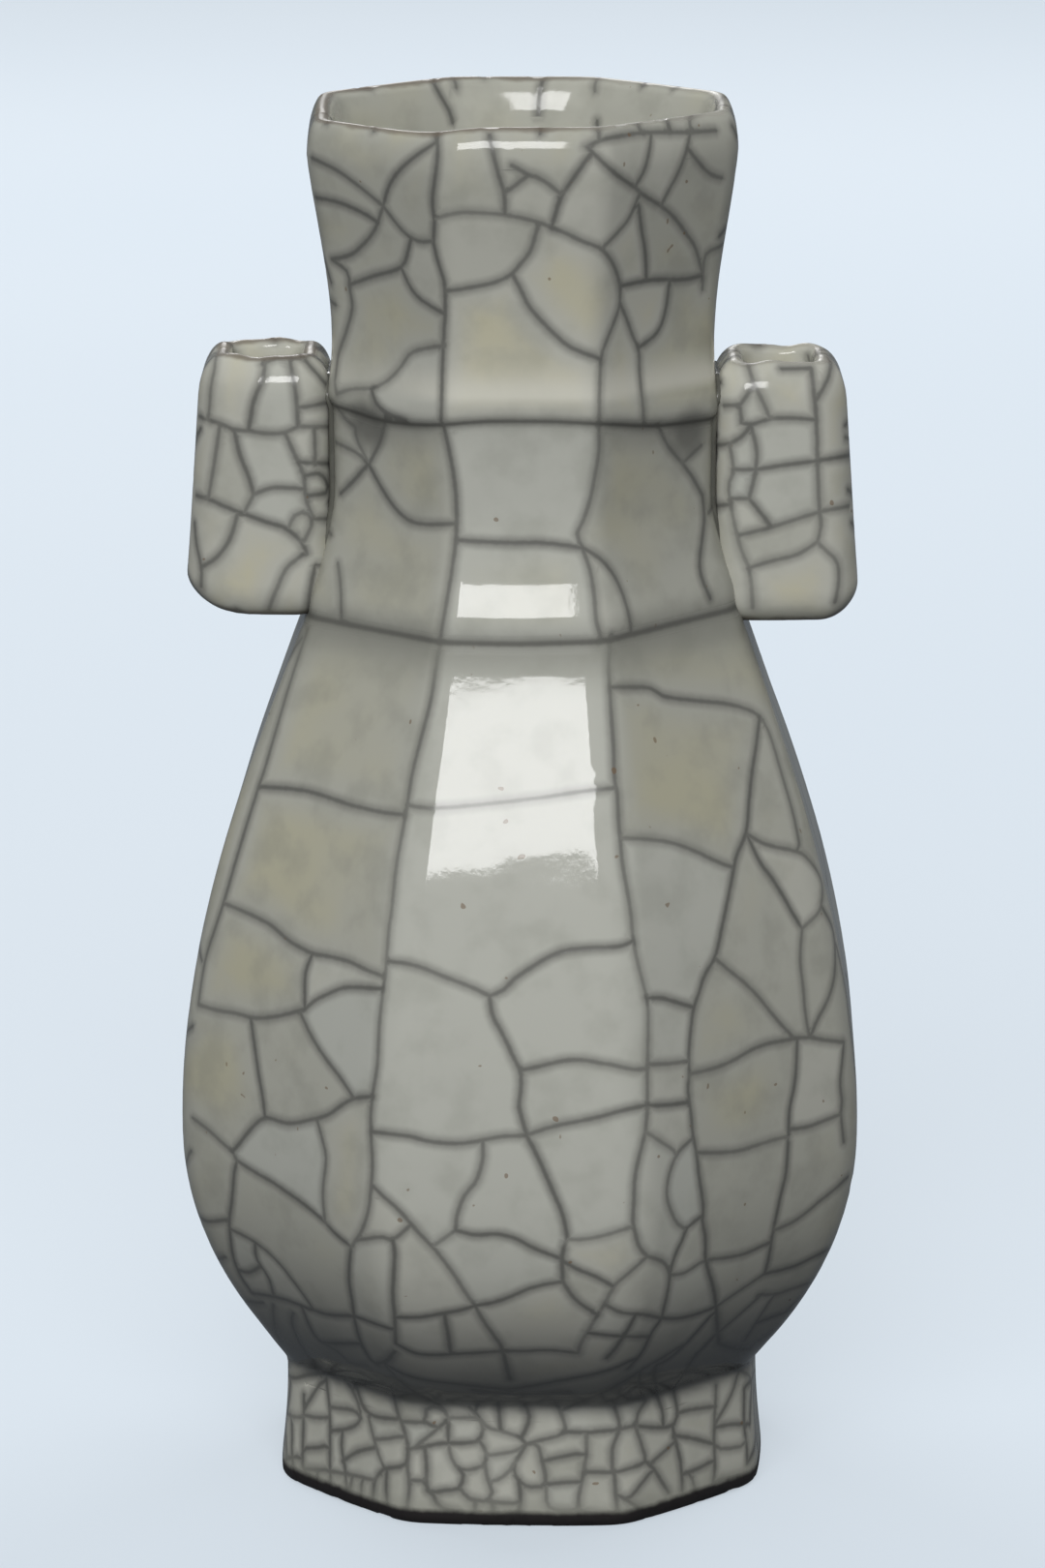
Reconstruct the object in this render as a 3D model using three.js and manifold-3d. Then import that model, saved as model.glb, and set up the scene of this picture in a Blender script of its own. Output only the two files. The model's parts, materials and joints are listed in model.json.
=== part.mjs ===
import * as THREE from 'three';
import { mergeVertices } from 'three/addons/utils/BufferGeometryUtils.js';
import Module from 'manifold-3d';

// An eight-sided stoneware vase with two tubular handles, in millimetres, standing on z = 0.
// Its front faces -Y and its handles stand at +X and -X. It is put together as a potter does it:
// pressed sections lap into each other, raised strings cover the joints of the neck,
// and the handle tubes are trimmed to the neck and luted on with a pad of clay.

// Plan: an octagon with slightly narrow front, back and side faces and rounded corners.
// Both shares are of half the width across two opposite faces.
const FACE_SHARE = 0.37;
const CORNER_SHARE = 0.2;
const CORNER_STEPS = 2;

// Widths across the flat faces, from the foot up
const FOOT_WIDTH = 50.8;
const FOOT_TOP_WIDTH = 50.1;
const BELLY_WIDTH = 72.1;
const SHOULDER_WIDTH = 44.7;
const NECK_BASE_WIDTH = 42.8;
const NECK_WAIST_WIDTH = 39.6;
const NECK_TOP_WIDTH = 39.7;
const COLLAR_WIDTH = 40.5;
const MOUTH_WIDTH = 44.9;

// Heights of the sections, stacked from the floor up
const FOOT_HEIGHT = 11.6;
const SLAB_HEIGHT = 3.4;
const SLAB_EDGE_HEIGHT = 1.6;
const LOWER_BELLY_HEIGHT = 24;
const UPPER_BELLY_HEIGHT = 55.6;
const STRING_HEIGHT = 2.8;
const LOWER_NECK_HEIGHT = 19.6;
const NECK_WAIST_RISE = 10.6;
const UPPER_NECK_HEIGHT = 24;
const RIM_HEIGHT = 4.2;

// How fast the half width grows with height where sections meet
const FOOT_SPLAY = -0.12;
const BELLY_SPRING = 0.85;
const SHOULDER_FALL = -0.42;
const MOUTH_FLARE = 0.1;

// Walls
const FOOT_WALL = 4.2;
const BELLY_WALL = 3.4;
const NECK_WALL = 2.8;
const FOOT_EDGE_BEVEL = 0.5;

// Joints between the sections
const SLIP_GAP = 0.3;
const LAP_HEIGHT = 1.8;
const PLUG_HEIGHT = 1.2;
const STRING_DEPTH = 0.9;
const STRING_BULGE = 1.6;

// Handles
const TUBE_WIDTH = 13.3;
const TUBE_DEPTH = 15.6;
const TUBE_HEIGHT = 27.7;
const TUBE_WALL = 3.2;
const TUBE_CORNER = 3.2;
const TUBE_TOP_ROLL = 2.2;
const TUBE_BOTTOM_ROLL = 3.4;
const TUBE_BORE_ROLL = 0.9;
const TUBE_LEAN = THREE.MathUtils.degToRad(4);
const TUBE_SETDOWN = 0.6;
const LUTE_THICKNESS = 1.6;
const LUTE_DEPTH = 9;
const LUTE_START = 4.1;
const LUTE_CLEARANCE = 0.5;

// Fineness of the curved stretches
const FOOT_STEPS = 3;
const LOWER_BELLY_STEPS = 6;
const UPPER_BELLY_STEPS = 8;
const STRING_STEPS = 5;
const NECK_STEPS = 4;
const LIP_STEPS = 6;
const TUBE_LIP_STEPS = 3;

// Levels of the joints
const FOOT_TOP = FOOT_HEIGHT;
const BELLY_SPRING_LINE = FOOT_TOP + SLAB_EDGE_HEIGHT;
const SLAB_TOP = FOOT_TOP + SLAB_HEIGHT;
const WIDEST_LINE = SLAB_TOP + LOWER_BELLY_HEIGHT;
const SHOULDER = WIDEST_LINE + UPPER_BELLY_HEIGHT;
const NECK_BASE = SHOULDER + STRING_HEIGHT;
const NECK_WAIST = NECK_BASE + NECK_WAIST_RISE;
const NECK_TOP = NECK_BASE + LOWER_NECK_HEIGHT;
const COLLAR = NECK_TOP + STRING_HEIGHT;
const RIM_SEAT = COLLAR + UPPER_NECK_HEIGHT;
const VASE_TOP = RIM_SEAT + RIM_HEIGHT;

const FACES = 8;
const FACE_TURN = 2 * Math.PI / FACES;
const ORIGIN = new THREE.Vector2(0, 0);

const wasm = await Module();
wasm.setup();

const point = (half, z) => new THREE.Vector2(half, z);

// Outside of the vase: one smooth stretch between two stations, even in height
function stretch(low, high) {
  const third = (high.z - low.z) / 3;
  return new THREE.CubicBezierCurve(
    point(low.half, low.z),
    point(low.half + low.slope * third, low.z + third),
    point(high.half - high.slope * third, high.z - third),
    point(high.half, high.z),
  );
}

function station(width, z, slope) {
  return { half: width / 2, z, slope };
}

const footCurve = stretch(station(FOOT_WIDTH, 0, FOOT_SPLAY), station(FOOT_TOP_WIDTH, FOOT_TOP, 0));
const widest = station(BELLY_WIDTH, WIDEST_LINE, 0);
const lowerBellyCurve = stretch(station(FOOT_TOP_WIDTH, BELLY_SPRING_LINE, BELLY_SPRING), widest);
const upperBellyCurve = stretch(widest, station(SHOULDER_WIDTH, SHOULDER, SHOULDER_FALL));
const waist = station(NECK_WAIST_WIDTH, NECK_WAIST, 0);
const neckBaseCurve = stretch(station(NECK_BASE_WIDTH, NECK_BASE, SHOULDER_FALL), waist);
const neckTopCurve = stretch(waist, station(NECK_TOP_WIDTH, NECK_TOP, 0));
const mouth = station(MOUTH_WIDTH, RIM_SEAT, MOUTH_FLARE);
const upperNeckCurve = stretch(station(COLLAR_WIDTH, COLLAR, 0), mouth);

// A string swells just above its lower edge and runs out into the section above it
function stringCurve(lowWidth, highWidth, z) {
  return new THREE.CubicBezierCurve(
    point(lowWidth / 2, z),
    point(lowWidth / 2 + STRING_BULGE, z),
    point(highWidth / 2 + STRING_BULGE / 2, z + STRING_HEIGHT / 2),
    point(highWidth / 2, z + STRING_HEIGHT),
  );
}

const lowerStringCurve = stringCurve(SHOULDER_WIDTH, NECK_BASE_WIDTH, SHOULDER);
const upperStringCurve = stringCurve(NECK_TOP_WIDTH, COLLAR_WIDTH, NECK_TOP);

// Points of a stretch between two heights, both included
function run(curve, fromZ, toZ, steps) {
  const low = curve.v0.y;
  const high = curve.v3.y;
  const points = [];
  for (let step = 0; step <= steps; step += 1) {
    const z = fromZ + (toZ - fromZ) * step / steps;
    points.push(curve.getPoint((z - low) / (high - low)));
  }
  return points;
}

const wholeRun = (curve, steps) => run(curve, curve.v0.y, curve.v3.y, steps);

// The inner face behind a run of outside points, listed downwards
const inside = (points, wall) => points.map((p) => point(p.x - wall, p.y)).reverse();

// Plan of the vase for a half width of 1, counterclockwise
function unitPlan() {
  const diagonal = (1 + FACE_SHARE) / Math.SQRT2;
  const reach = (face) => (face % 2 === 0 ? 1 : diagonal) - CORNER_SHARE;
  const points = [];
  for (let face = 0; face < FACES; face += 1) {
    const along = (reach(face + 1) - reach(face) * Math.cos(FACE_TURN)) / Math.sin(FACE_TURN);
    const centre = point(reach(face), along).rotateAround(ORIGIN, face * FACE_TURN);
    for (let step = 0; step <= CORNER_STEPS; step += 1) {
      const angle = FACE_TURN * (face + step / CORNER_STEPS);
      const arm = point(Math.cos(angle), Math.sin(angle)).multiplyScalar(CORNER_SHARE);
      points.push(arm.add(centre));
    }
  }
  return points;
}

const UNIT_PLAN = unitPlan();
const vasePlan = (half) => UNIT_PLAN.map((p) => p.clone().multiplyScalar(half));

// Carries a section of (size, height) points round a plan.
// A closed section gives a ring, and an open one a solid with a flat bottom and top.
function loft(section, planAt, closed) {
  const positions = [];
  const indices = [];
  const count = planAt(section[0].x, section[0].y).length;
  for (const { x, y } of section) {
    planAt(x, y).forEach((p) => positions.push(p.x, p.y, y));
  }
  const rows = closed ? section.length : section.length - 1;
  for (let row = 0; row < rows; row += 1) {
    const low = row * count;
    const high = ((row + 1) % section.length) * count;
    for (let column = 0; column < count; column += 1) {
      const next = (column + 1) % count;
      indices.push(low + column, low + next, high + next);
      indices.push(low + column, high + next, high + column);
    }
  }
  if (!closed) {
    addCap(positions, indices, 0, count, true);
    addCap(positions, indices, (section.length - 1) * count, count, false);
  }
  return indexed(positions, indices);
}

// A flat fan over one row of a loft
function addCap(positions, indices, first, count, facesDown) {
  const centre = positions.length / 3;
  positions.push(0, 0, positions[3 * first + 2]);
  for (let column = 0; column < count; column += 1) {
    const here = first + column;
    const next = first + (column + 1) % count;
    indices.push(centre, facesDown ? next : here, facesDown ? here : next);
  }
}

function indexed(positions, indices) {
  const geometry = new THREE.BufferGeometry();
  geometry.setAttribute('position', new THREE.Float32BufferAttribute(positions, 3));
  geometry.setIndex(indices);
  geometry.computeVertexNormals();
  return geometry;
}

const ring = (section) => loft(section, vasePlan, true);

// Solid geometry in and out of the boolean library
function toSolid(geometry) {
  const bare = geometry.clone();
  bare.deleteAttribute('normal');
  bare.deleteAttribute('uv');
  const merged = mergeVertices(bare);
  return new wasm.Manifold(new wasm.Mesh({
    numProp: 3,
    vertProperties: new Float32Array(merged.attributes.position.array),
    triVerts: new Uint32Array(merged.index.array),
  }));
}

function toGeometry(solid) {
  const mesh = solid.getMesh();
  return indexed(Array.from(mesh.vertProperties), Array.from(mesh.triVerts));
}

// Foot
function footRing() {
  const outer = wholeRun(footCurve, FOOT_STEPS);
  const sole = outer[0];
  const top = outer[outer.length - 1];
  const bevelTop = run(footCurve, FOOT_EDGE_BEVEL, FOOT_EDGE_BEVEL, 1)[0];
  return ring([
    point(sole.x - FOOT_EDGE_BEVEL, 0),
    bevelTop,
    ...outer.slice(1),
    point(top.x - FOOT_WALL, FOOT_TOP),
    point(top.x - FOOT_WALL, FOOT_EDGE_BEVEL),
    point(top.x - FOOT_WALL + FOOT_EDGE_BEVEL, 0),
  ]);
}

// Floor, with a plug into the foot below and one into the belly above
function floorSlab() {
  const edge = run(lowerBellyCurve, BELLY_SPRING_LINE, SLAB_TOP, 1);
  const lowerPlug = FOOT_TOP_WIDTH / 2 - FOOT_WALL - SLIP_GAP;
  const upperPlug = edge[1].x - BELLY_WALL - SLIP_GAP;
  return loft([
    point(lowerPlug, FOOT_TOP - PLUG_HEIGHT),
    point(lowerPlug, FOOT_TOP),
    point(edge[0].x, FOOT_TOP),
    ...edge,
    point(upperPlug, SLAB_TOP),
    point(upperPlug, SLAB_TOP + PLUG_HEIGHT),
  ], vasePlan, false);
}

// A plain lap: the tongue of the lower section stands inside the rebate of the upper one
function lap(half, wall, z) {
  const middle = half - wall / 2;
  return {
    tongue: [point(middle - SLIP_GAP / 2, z), point(middle - SLIP_GAP / 2, z + LAP_HEIGHT)],
    rebate: [
      point(middle + SLIP_GAP / 2, z + LAP_HEIGHT + SLIP_GAP),
      point(middle + SLIP_GAP / 2, z),
    ],
  };
}

const bellyLap = lap(BELLY_WIDTH / 2, BELLY_WALL, WIDEST_LINE);
const rimLap = lap(MOUTH_WIDTH / 2, NECK_WALL, RIM_SEAT);

// A covered joint: tongue and skirt meet behind the string, halfway up it
function coveredJoint(lowWidth, highWidth, lowWall, highWall, z) {
  const seat = Math.min(lowWidth, highWidth) / 2 - STRING_DEPTH;
  const bore = (lowWidth / 2 - lowWall + highWidth / 2 - highWall) / 2;
  const middle = z + STRING_HEIGHT / 2;
  return {
    seat,
    tongue: [point(seat - SLIP_GAP, z), point(seat - SLIP_GAP, middle), point(bore, middle)],
    skirt: [
      point(bore, middle),
      point(seat - SLIP_GAP, middle),
      point(seat - SLIP_GAP, z + STRING_HEIGHT),
    ],
  };
}

const shoulderJoint = coveredJoint(SHOULDER_WIDTH, NECK_BASE_WIDTH, BELLY_WALL, NECK_WALL, SHOULDER);
const neckJoint = coveredJoint(NECK_TOP_WIDTH, COLLAR_WIDTH, NECK_WALL, NECK_WALL, NECK_TOP);

// Belly
function lowerBelly() {
  const outer = run(lowerBellyCurve, SLAB_TOP, WIDEST_LINE, LOWER_BELLY_STEPS);
  const boreTop = point(BELLY_WIDTH / 2 - BELLY_WALL, WIDEST_LINE + LAP_HEIGHT);
  return ring([...outer, ...bellyLap.tongue, boreTop, ...inside(outer, BELLY_WALL)]);
}

function upperBelly() {
  const outer = wholeRun(upperBellyCurve, UPPER_BELLY_STEPS);
  const lapTop = WIDEST_LINE + LAP_HEIGHT + SLIP_GAP;
  const behind = run(upperBellyCurve, lapTop, SHOULDER, UPPER_BELLY_STEPS);
  return ring([...outer, ...shoulderJoint.tongue, ...inside(behind, BELLY_WALL), ...bellyLap.rebate]);
}

// Neck
function lowerNeck() {
  const outer = [...wholeRun(neckBaseCurve, NECK_STEPS), ...wholeRun(neckTopCurve, NECK_STEPS).slice(1)];
  return ring([...shoulderJoint.skirt, ...outer, ...neckJoint.tongue, ...inside(outer, NECK_WALL)]);
}

function upperNeck() {
  const outer = wholeRun(upperNeckCurve, NECK_STEPS * 2);
  const boreTop = point(MOUTH_WIDTH / 2 - NECK_WALL, RIM_SEAT + LAP_HEIGHT);
  return ring([...neckJoint.skirt, ...outer, ...rimLap.tongue, boreTop, ...inside(outer, NECK_WALL)]);
}

function stringBand(curve, joint) {
  const outer = curve.getPoints(STRING_STEPS);
  return ring([
    ...outer,
    point(joint.seat, curve.v3.y),
    point(joint.seat, curve.v0.y),
  ]);
}

// Lip: an arch over the wall, lapped on the upper neck
function mouthRim() {
  const outer = MOUTH_WIDTH / 2;
  const radius = NECK_WALL / 2;
  const archZ = VASE_TOP - radius;
  const lapTop = RIM_SEAT + LAP_HEIGHT + SLIP_GAP;
  const arch = new THREE.EllipseCurve(outer - radius, archZ, radius, radius, 0, Math.PI);
  return ring([
    point(outer, RIM_SEAT),
    ...arch.getPoints(LIP_STEPS),
    point(outer - NECK_WALL, lapTop),
    ...rimLap.rebate,
  ]);
}

// Handle tube: a rounded rectangle with an upright inner side and a leaning outer side
const TUBE_INNER = NECK_WAIST_WIDTH / 2 + LUTE_THICKNESS;
const TUBE_BOTTOM = SHOULDER - TUBE_SETDOWN;
const TUBE_TOP = TUBE_BOTTOM + TUBE_HEIGHT;

function tubePlan(inset, z) {
  const lean = (TUBE_BOTTOM + TUBE_HEIGHT / 2 - z) * Math.tan(TUBE_LEAN);
  const innerX = TUBE_INNER + inset;
  const outerX = TUBE_INNER + TUBE_WIDTH + lean - inset;
  const depth = TUBE_DEPTH / 2 - inset;
  const radius = TUBE_CORNER - inset / 2;
  const corners = [
    point(outerX - radius, depth - radius),
    point(innerX + radius, depth - radius),
    point(innerX + radius, radius - depth),
    point(outerX - radius, radius - depth),
  ];
  const steps = CORNER_STEPS * 2;
  return corners.flatMap((centre, corner) => {
    const arc = new THREE.EllipseCurve(
      centre.x, centre.y, radius, radius, corner * Math.PI / 2, (corner + 1) * Math.PI / 2,
    );
    return arc.getPoints(steps);
  });
}

// A quarter turn that leaves upright and arrives level
function quarterTurn(start, end) {
  const points = [];
  for (let step = 0; step <= TUBE_LIP_STEPS; step += 1) {
    const angle = Math.PI / 2 * step / TUBE_LIP_STEPS;
    const across = (end.x - start.x) * (1 - Math.cos(angle));
    const up = (end.y - start.y) * Math.sin(angle);
    points.push(point(start.x + across, start.y + up));
  }
  return points;
}

// A lip rolls over widely on the outside and tightly into the bore
function tubeLip(endZ, roll) {
  const crest = point(TUBE_WALL - TUBE_BORE_ROLL, endZ);
  const outside = quarterTurn(point(0, endZ + roll), crest);
  const bore = quarterTurn(point(TUBE_WALL, endZ + Math.sign(roll) * TUBE_BORE_ROLL), crest);
  return [...outside, ...bore.reverse().slice(1)];
}

function tubeBlank() {
  const bottomLip = tubeLip(TUBE_BOTTOM, TUBE_BOTTOM_ROLL).reverse();
  const topLip = tubeLip(TUBE_TOP, -TUBE_TOP_ROLL);
  return loft([...bottomLip, ...topLip], tubePlan, true);
}

// Room that the shoulder, strings and neck take up where the handles meet them, with the slip gap
function neckRoom() {
  const skin = [
    ...run(upperBellyCurve, SHOULDER - TUBE_HEIGHT, SHOULDER, UPPER_BELLY_STEPS),
    ...lowerStringCurve.getPoints(STRING_STEPS).slice(1),
    ...wholeRun(neckBaseCurve, NECK_STEPS).slice(1),
    ...wholeRun(neckTopCurve, NECK_STEPS).slice(1),
    ...upperStringCurve.getPoints(STRING_STEPS).slice(1),
    ...wholeRun(upperNeckCurve, NECK_STEPS * 2).slice(1),
  ];
  return toSolid(loft(skin.map((p) => point(p.x + SLIP_GAP, p.y)), vasePlan, false));
}

const NECK_ROOM = neckRoom();

const handleTube = () => toGeometry(toSolid(tubeBlank()).subtract(NECK_ROOM));

// Pad of clay between the neck and the upright side of the tube
function handleLute() {
  const bottom = NECK_BASE + LUTE_START;
  const top = NECK_TOP - LUTE_CLEARANCE;
  const outerX = TUBE_INNER - SLIP_GAP;
  const innerX = NECK_WAIST_WIDTH / 2 - LUTE_THICKNESS;
  const block = new THREE.BoxGeometry(outerX - innerX, LUTE_DEPTH, top - bottom);
  block.translate((outerX + innerX) / 2, 0, (top + bottom) / 2);
  return toGeometry(toSolid(block).subtract(NECK_ROOM));
}

// Finishes
const GLAZE = { color: 0xa9a797, roughness: 0.14, metalness: 0 };
const FOOT_GLAZE = { color: 0x9a9a90, roughness: 0.2, metalness: 0 };
const LUTE_CLAY = { color: 0x8d8b7c, roughness: 0.35, metalness: 0 };

const vase = new THREE.Group();

function addPiece(name, geometry, finish) {
  const piece = new THREE.Mesh(geometry, new THREE.MeshStandardMaterial(finish));
  piece.name = name;
  vase.add(piece);
  return piece;
}

addPiece('foot_ring', footRing(), FOOT_GLAZE);
addPiece('floor_slab', floorSlab(), GLAZE);
addPiece('lower_belly', lowerBelly(), GLAZE);
addPiece('upper_belly', upperBelly(), GLAZE);
addPiece('lower_string', stringBand(lowerStringCurve, shoulderJoint), GLAZE);
addPiece('lower_neck', lowerNeck(), GLAZE);
addPiece('upper_string', stringBand(upperStringCurve, neckJoint), GLAZE);
addPiece('upper_neck', upperNeck(), GLAZE);
addPiece('mouth_rim', mouthRim(), GLAZE);

const SIDES = { right: 0, left: Math.PI };
for (const [side, turn] of Object.entries(SIDES)) {
  addPiece(`handle_tube_${side}`, handleTube(), GLAZE).rotation.z = turn;
  addPiece(`handle_lute_${side}`, handleLute(), LUTE_CLAY).rotation.z = turn;
}

export default vase;
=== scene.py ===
# %% [markdown]
# # A crackle-glazed vase with two tube handles
# The real vase is thick stoneware, pressed in sections and luted together, under a grey-green glaze
# that crazed into a net of dark lines as it cooled. The clay body is plain, so nearly all of the
# look is in the glaze: soft corners, a few sharp window reflections, and the net of cracks.
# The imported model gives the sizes. Every piece made here stands in for one of its nodes.

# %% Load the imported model
import json
import math

import bpy
import numpy as np
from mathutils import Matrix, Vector, geometry, kdtree
from mathutils.bvhtree import BVHTree

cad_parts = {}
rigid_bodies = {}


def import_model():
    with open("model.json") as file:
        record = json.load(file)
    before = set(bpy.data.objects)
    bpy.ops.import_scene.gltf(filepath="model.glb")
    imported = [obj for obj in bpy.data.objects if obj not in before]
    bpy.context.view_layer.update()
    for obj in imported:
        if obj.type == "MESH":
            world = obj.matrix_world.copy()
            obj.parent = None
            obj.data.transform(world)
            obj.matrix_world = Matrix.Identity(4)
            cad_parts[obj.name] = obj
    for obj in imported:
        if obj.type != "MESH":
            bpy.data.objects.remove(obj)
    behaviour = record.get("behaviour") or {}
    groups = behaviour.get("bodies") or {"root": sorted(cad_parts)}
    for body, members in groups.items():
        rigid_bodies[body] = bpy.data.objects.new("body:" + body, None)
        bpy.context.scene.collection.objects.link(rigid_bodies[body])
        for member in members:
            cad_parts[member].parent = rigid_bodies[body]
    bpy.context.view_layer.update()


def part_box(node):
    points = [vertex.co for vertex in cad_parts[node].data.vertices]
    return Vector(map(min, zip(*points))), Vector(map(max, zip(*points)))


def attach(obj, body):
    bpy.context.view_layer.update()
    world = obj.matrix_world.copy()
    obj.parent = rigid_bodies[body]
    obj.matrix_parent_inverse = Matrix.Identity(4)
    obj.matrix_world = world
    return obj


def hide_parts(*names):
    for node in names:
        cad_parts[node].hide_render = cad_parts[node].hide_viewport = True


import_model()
MM = 0.001
scene = bpy.context.scene

# %% [markdown]
# ## Sums over nodes
# Materials and Geometry Nodes trees are full of small sums. Written as Python they stay readable:
# a Signal is one output of a node, and adding or multiplying signals adds Math nodes to the tree.

# %% A socket that can be added and multiplied


class Signal:
    """One output of a node, so that the maths of a tree is written as Python sums."""

    def __init__(self, tree, socket=None):
        self.tree = tree
        self.socket = socket

    def node(self, kind, settings=None, inputs=None, output=0):
        """Adds a node, makes its settings, fills its sockets and returns one of its outputs."""
        made = self.tree.nodes.new(kind)
        for name, value in (settings or {}).items():
            setattr(made, name, value)
        for name, value in (inputs or {}).items():
            if isinstance(value, Signal):
                self.tree.links.new(value.socket, made.inputs[name])
            else:
                made.inputs[name].default_value = value
        return Signal(self.tree, made.outputs[output] if len(made.outputs) else None)

    def other(self, output):
        """Another output of the same node."""
        return Signal(self.tree, self.socket.node.outputs[output])

    def sum(self, operation, first, second):
        return self.node("ShaderNodeMath", {"operation": operation}, {0: first, 1: second})

    def __add__(self, value):
        return self.sum("ADD", self, value)

    def __sub__(self, value):
        return self.sum("SUBTRACT", self, value)

    def __rsub__(self, value):
        return self.sum("SUBTRACT", value, self)

    def __mul__(self, value):
        return self.sum("MULTIPLY", self, value)

    def __truediv__(self, value):
        return self.sum("DIVIDE", self, value)

    __radd__ = __add__
    __rmul__ = __mul__

    def smallest(self, value):
        return self.sum("MINIMUM", self, value)

    def size(self):
        return self.sum("ABSOLUTE", self, 0.0)

    def ease(self, start, end, low=0.0, high=1.0):
        """Runs smoothly from low to high while this signal runs from start to end."""
        ends = {"Value": self, "From Min": start, "From Max": end, "To Min": low, "To Max": high}
        return self.node("ShaderNodeMapRange", {"interpolation_type": "SMOOTHSTEP"}, ends)

    def fade(self, start, end, high=1.0):
        """Runs smoothly from high down to nothing."""
        return self.ease(start, end, high, 0.0)

    def blend(self, first, second):
        """A colour between two others, with this signal as the share of the second."""
        return self.node("ShaderNodeMix", {"data_type": "RGBA"}, {0: self, 6: first, 7: second}, 2)

    def vector(self, operation, second, output=0):
        return self.node("ShaderNodeVectorMath", {"operation": operation}, {0: self, 1: second}, output)

    def scaled(self, factor):
        return self.node("ShaderNodeVectorMath", {"operation": "SCALE"}, {0: self, "Scale": factor})

    def towards(self, other, share):
        """A vector on the way from this one to another."""
        return self.vector("ADD", other.vector("SUBTRACT", self).scaled(share))

    def parts(self):
        """The three numbers of a vector."""
        split = self.node("ShaderNodeSeparateXYZ", None, {0: self})
        return split, split.other(1), split.other(2)

    def vector_of(self, x, y, z):
        return self.node("ShaderNodeCombineXYZ", None, {0: x, 1: y, 2: z})

    def noise(self, grain, detail=2.0, roughness=0.5):
        """A cloudy pattern on this vector, with patches of about the given size in metres."""
        sizes = {"Vector": self, "Scale": 1 / grain, "Detail": detail, "Roughness": roughness}
        return self.node("ShaderNodeTexNoise", None, sizes)


def geometry_tree(name, inputs):
    """A Geometry Nodes tree with named inputs, and the signal of each input."""
    tree = bpy.data.node_groups.new(name, "GeometryNodeTree")
    inputs = {"Geometry": "Geometry", **inputs, "Material": "Material"}
    for label, kind in inputs.items():
        tree.interface.new_socket(label, in_out="INPUT", socket_type="NodeSocket" + kind)
    tree.interface.new_socket("Geometry", in_out="OUTPUT", socket_type="NodeSocketGeometry")
    entry = Signal(tree).node("NodeGroupInput")
    return tree, {label: entry.other(label) for label in inputs}


def close_tree(result, material):
    """Ends a tree: real geometry with its material on it."""
    real = result.node("GeometryNodeRealizeInstances", None, {"Geometry": result})
    dressed = real.node("GeometryNodeSetMaterial", None, {"Geometry": real, "Material": material})
    dressed.node("NodeGroupOutput", None, {"Geometry": dressed})


def add_tree(piece, tree, values):
    """Puts a tree on an object and sets its inputs by their identifiers."""
    step = piece.modifiers.new(tree.name, "NODES")
    step.node_group = tree
    for item in tree.interface.items_tree:
        if item.in_out == "INPUT" and item.name in values:
            step[item.identifier] = values[item.name]


def add_mesh(name, points, edges=(), faces=()):
    mesh = bpy.data.meshes.new(name)
    mesh.from_pydata(np.asarray(points).tolist(), edges, faces, shade_flat=False)
    piece = bpy.data.objects.new(name, mesh)
    scene.collection.objects.link(piece)
    return piece


def store(mesh, name, values, kind="FLOAT", domain="POINT"):
    layer = mesh.attributes.new(name, kind, domain)
    field = "vector" if kind == "FLOAT_VECTOR" else "value"
    layer.data.foreach_set(field, np.asarray(values, np.float32).ravel())


def read(mesh, name):
    found = np.zeros(len(mesh.vertices) * 3, np.float32)
    if name == "position":
        mesh.vertices.foreach_get("co", found)
    else:
        mesh.attributes[name].data.foreach_get("vector", found)
    return found.reshape(-1, 3).astype(float)


def make_plain(piece):
    """Turns what the modifiers show into the object's own mesh, and drops the modifiers."""
    graph = bpy.context.evaluated_depsgraph_get()
    made = bpy.data.meshes.new_from_object(
        piece.evaluated_get(graph), preserve_all_data_layers=True, depsgraph=graph)
    old = piece.data
    piece.modifiers.clear()
    piece.data = made
    bpy.data.meshes.remove(old)
    return piece


print("signals and trees ready")

# %% [markdown]
# ## The shape of the body
# The vase is one rule: an octagon that grows and shrinks with height. The outline below is the half
# width at each height, under the foot first, then up the outside, over the lip and down the inside.
# Each stretch is a smooth curve between two stations. At the end the whole outline is softened a
# little, because glaze rounds every corner and pools in every crease.

# %% Levels and half widths, in millimetres


def level(node, corner):
    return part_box(node)[corner].z / MM


FOOT_TOP = level("foot_ring", 1)
SLAB_TOP = level("lower_belly", 0)
WIDEST = level("upper_belly", 0)
SHOULDER = level("lower_string", 0)
NECK_BASE = level("lower_string", 1)
NECK_TOP = level("upper_string", 0)
COLLAR = level("upper_string", 1)
RIM_SEAT = level("mouth_rim", 0)
VASE_TOP = level("mouth_rim", 1)
SPRING_LINE = 13.2
WAIST = 108.0
RECESS = level("floor_slab", 0)
FLOOR = level("floor_slab", 1)
BELLY_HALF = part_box("upper_belly")[1].x / MM
FOOT_HALF = 26.3
FOOT_TOP_HALF = 25.5
SHOULDER_HALF = 22.35
FLARE_END_HALF = 22.25
SKIRT = 101.5
SKIRT_HALF = 20.75
WAIST_HALF = 19.75
NECK_TOP_HALF = 19.85
COLLAR_HALF = 20.25
MOUTH_HALF = 22.45
LOWER_BULGE = 0.25
UPPER_BULGE = 0.6
FOOT_WALL = 4.2
BELLY_WALL = 3.4
NECK_WALL = 2.8
FOOT_EDGE = 0.5
LIP_RADIUS = 1.4
LIP_SLOPE = 4.2
FUNNEL_FOOT = 139.5
FUNNEL_WALL = 3.2
FUNNEL_EASE = 4
UNDER_STRING = SHOULDER - 3.0
UNDER_STRING_HALF = SHOULDER_HALF + 1.44
FLARE_END = NECK_BASE - 0.8
FOOT_LEAN = -0.12
SPRING_LEAN = 0.85
UNDER_STRING_LEAN = -0.405
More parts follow.
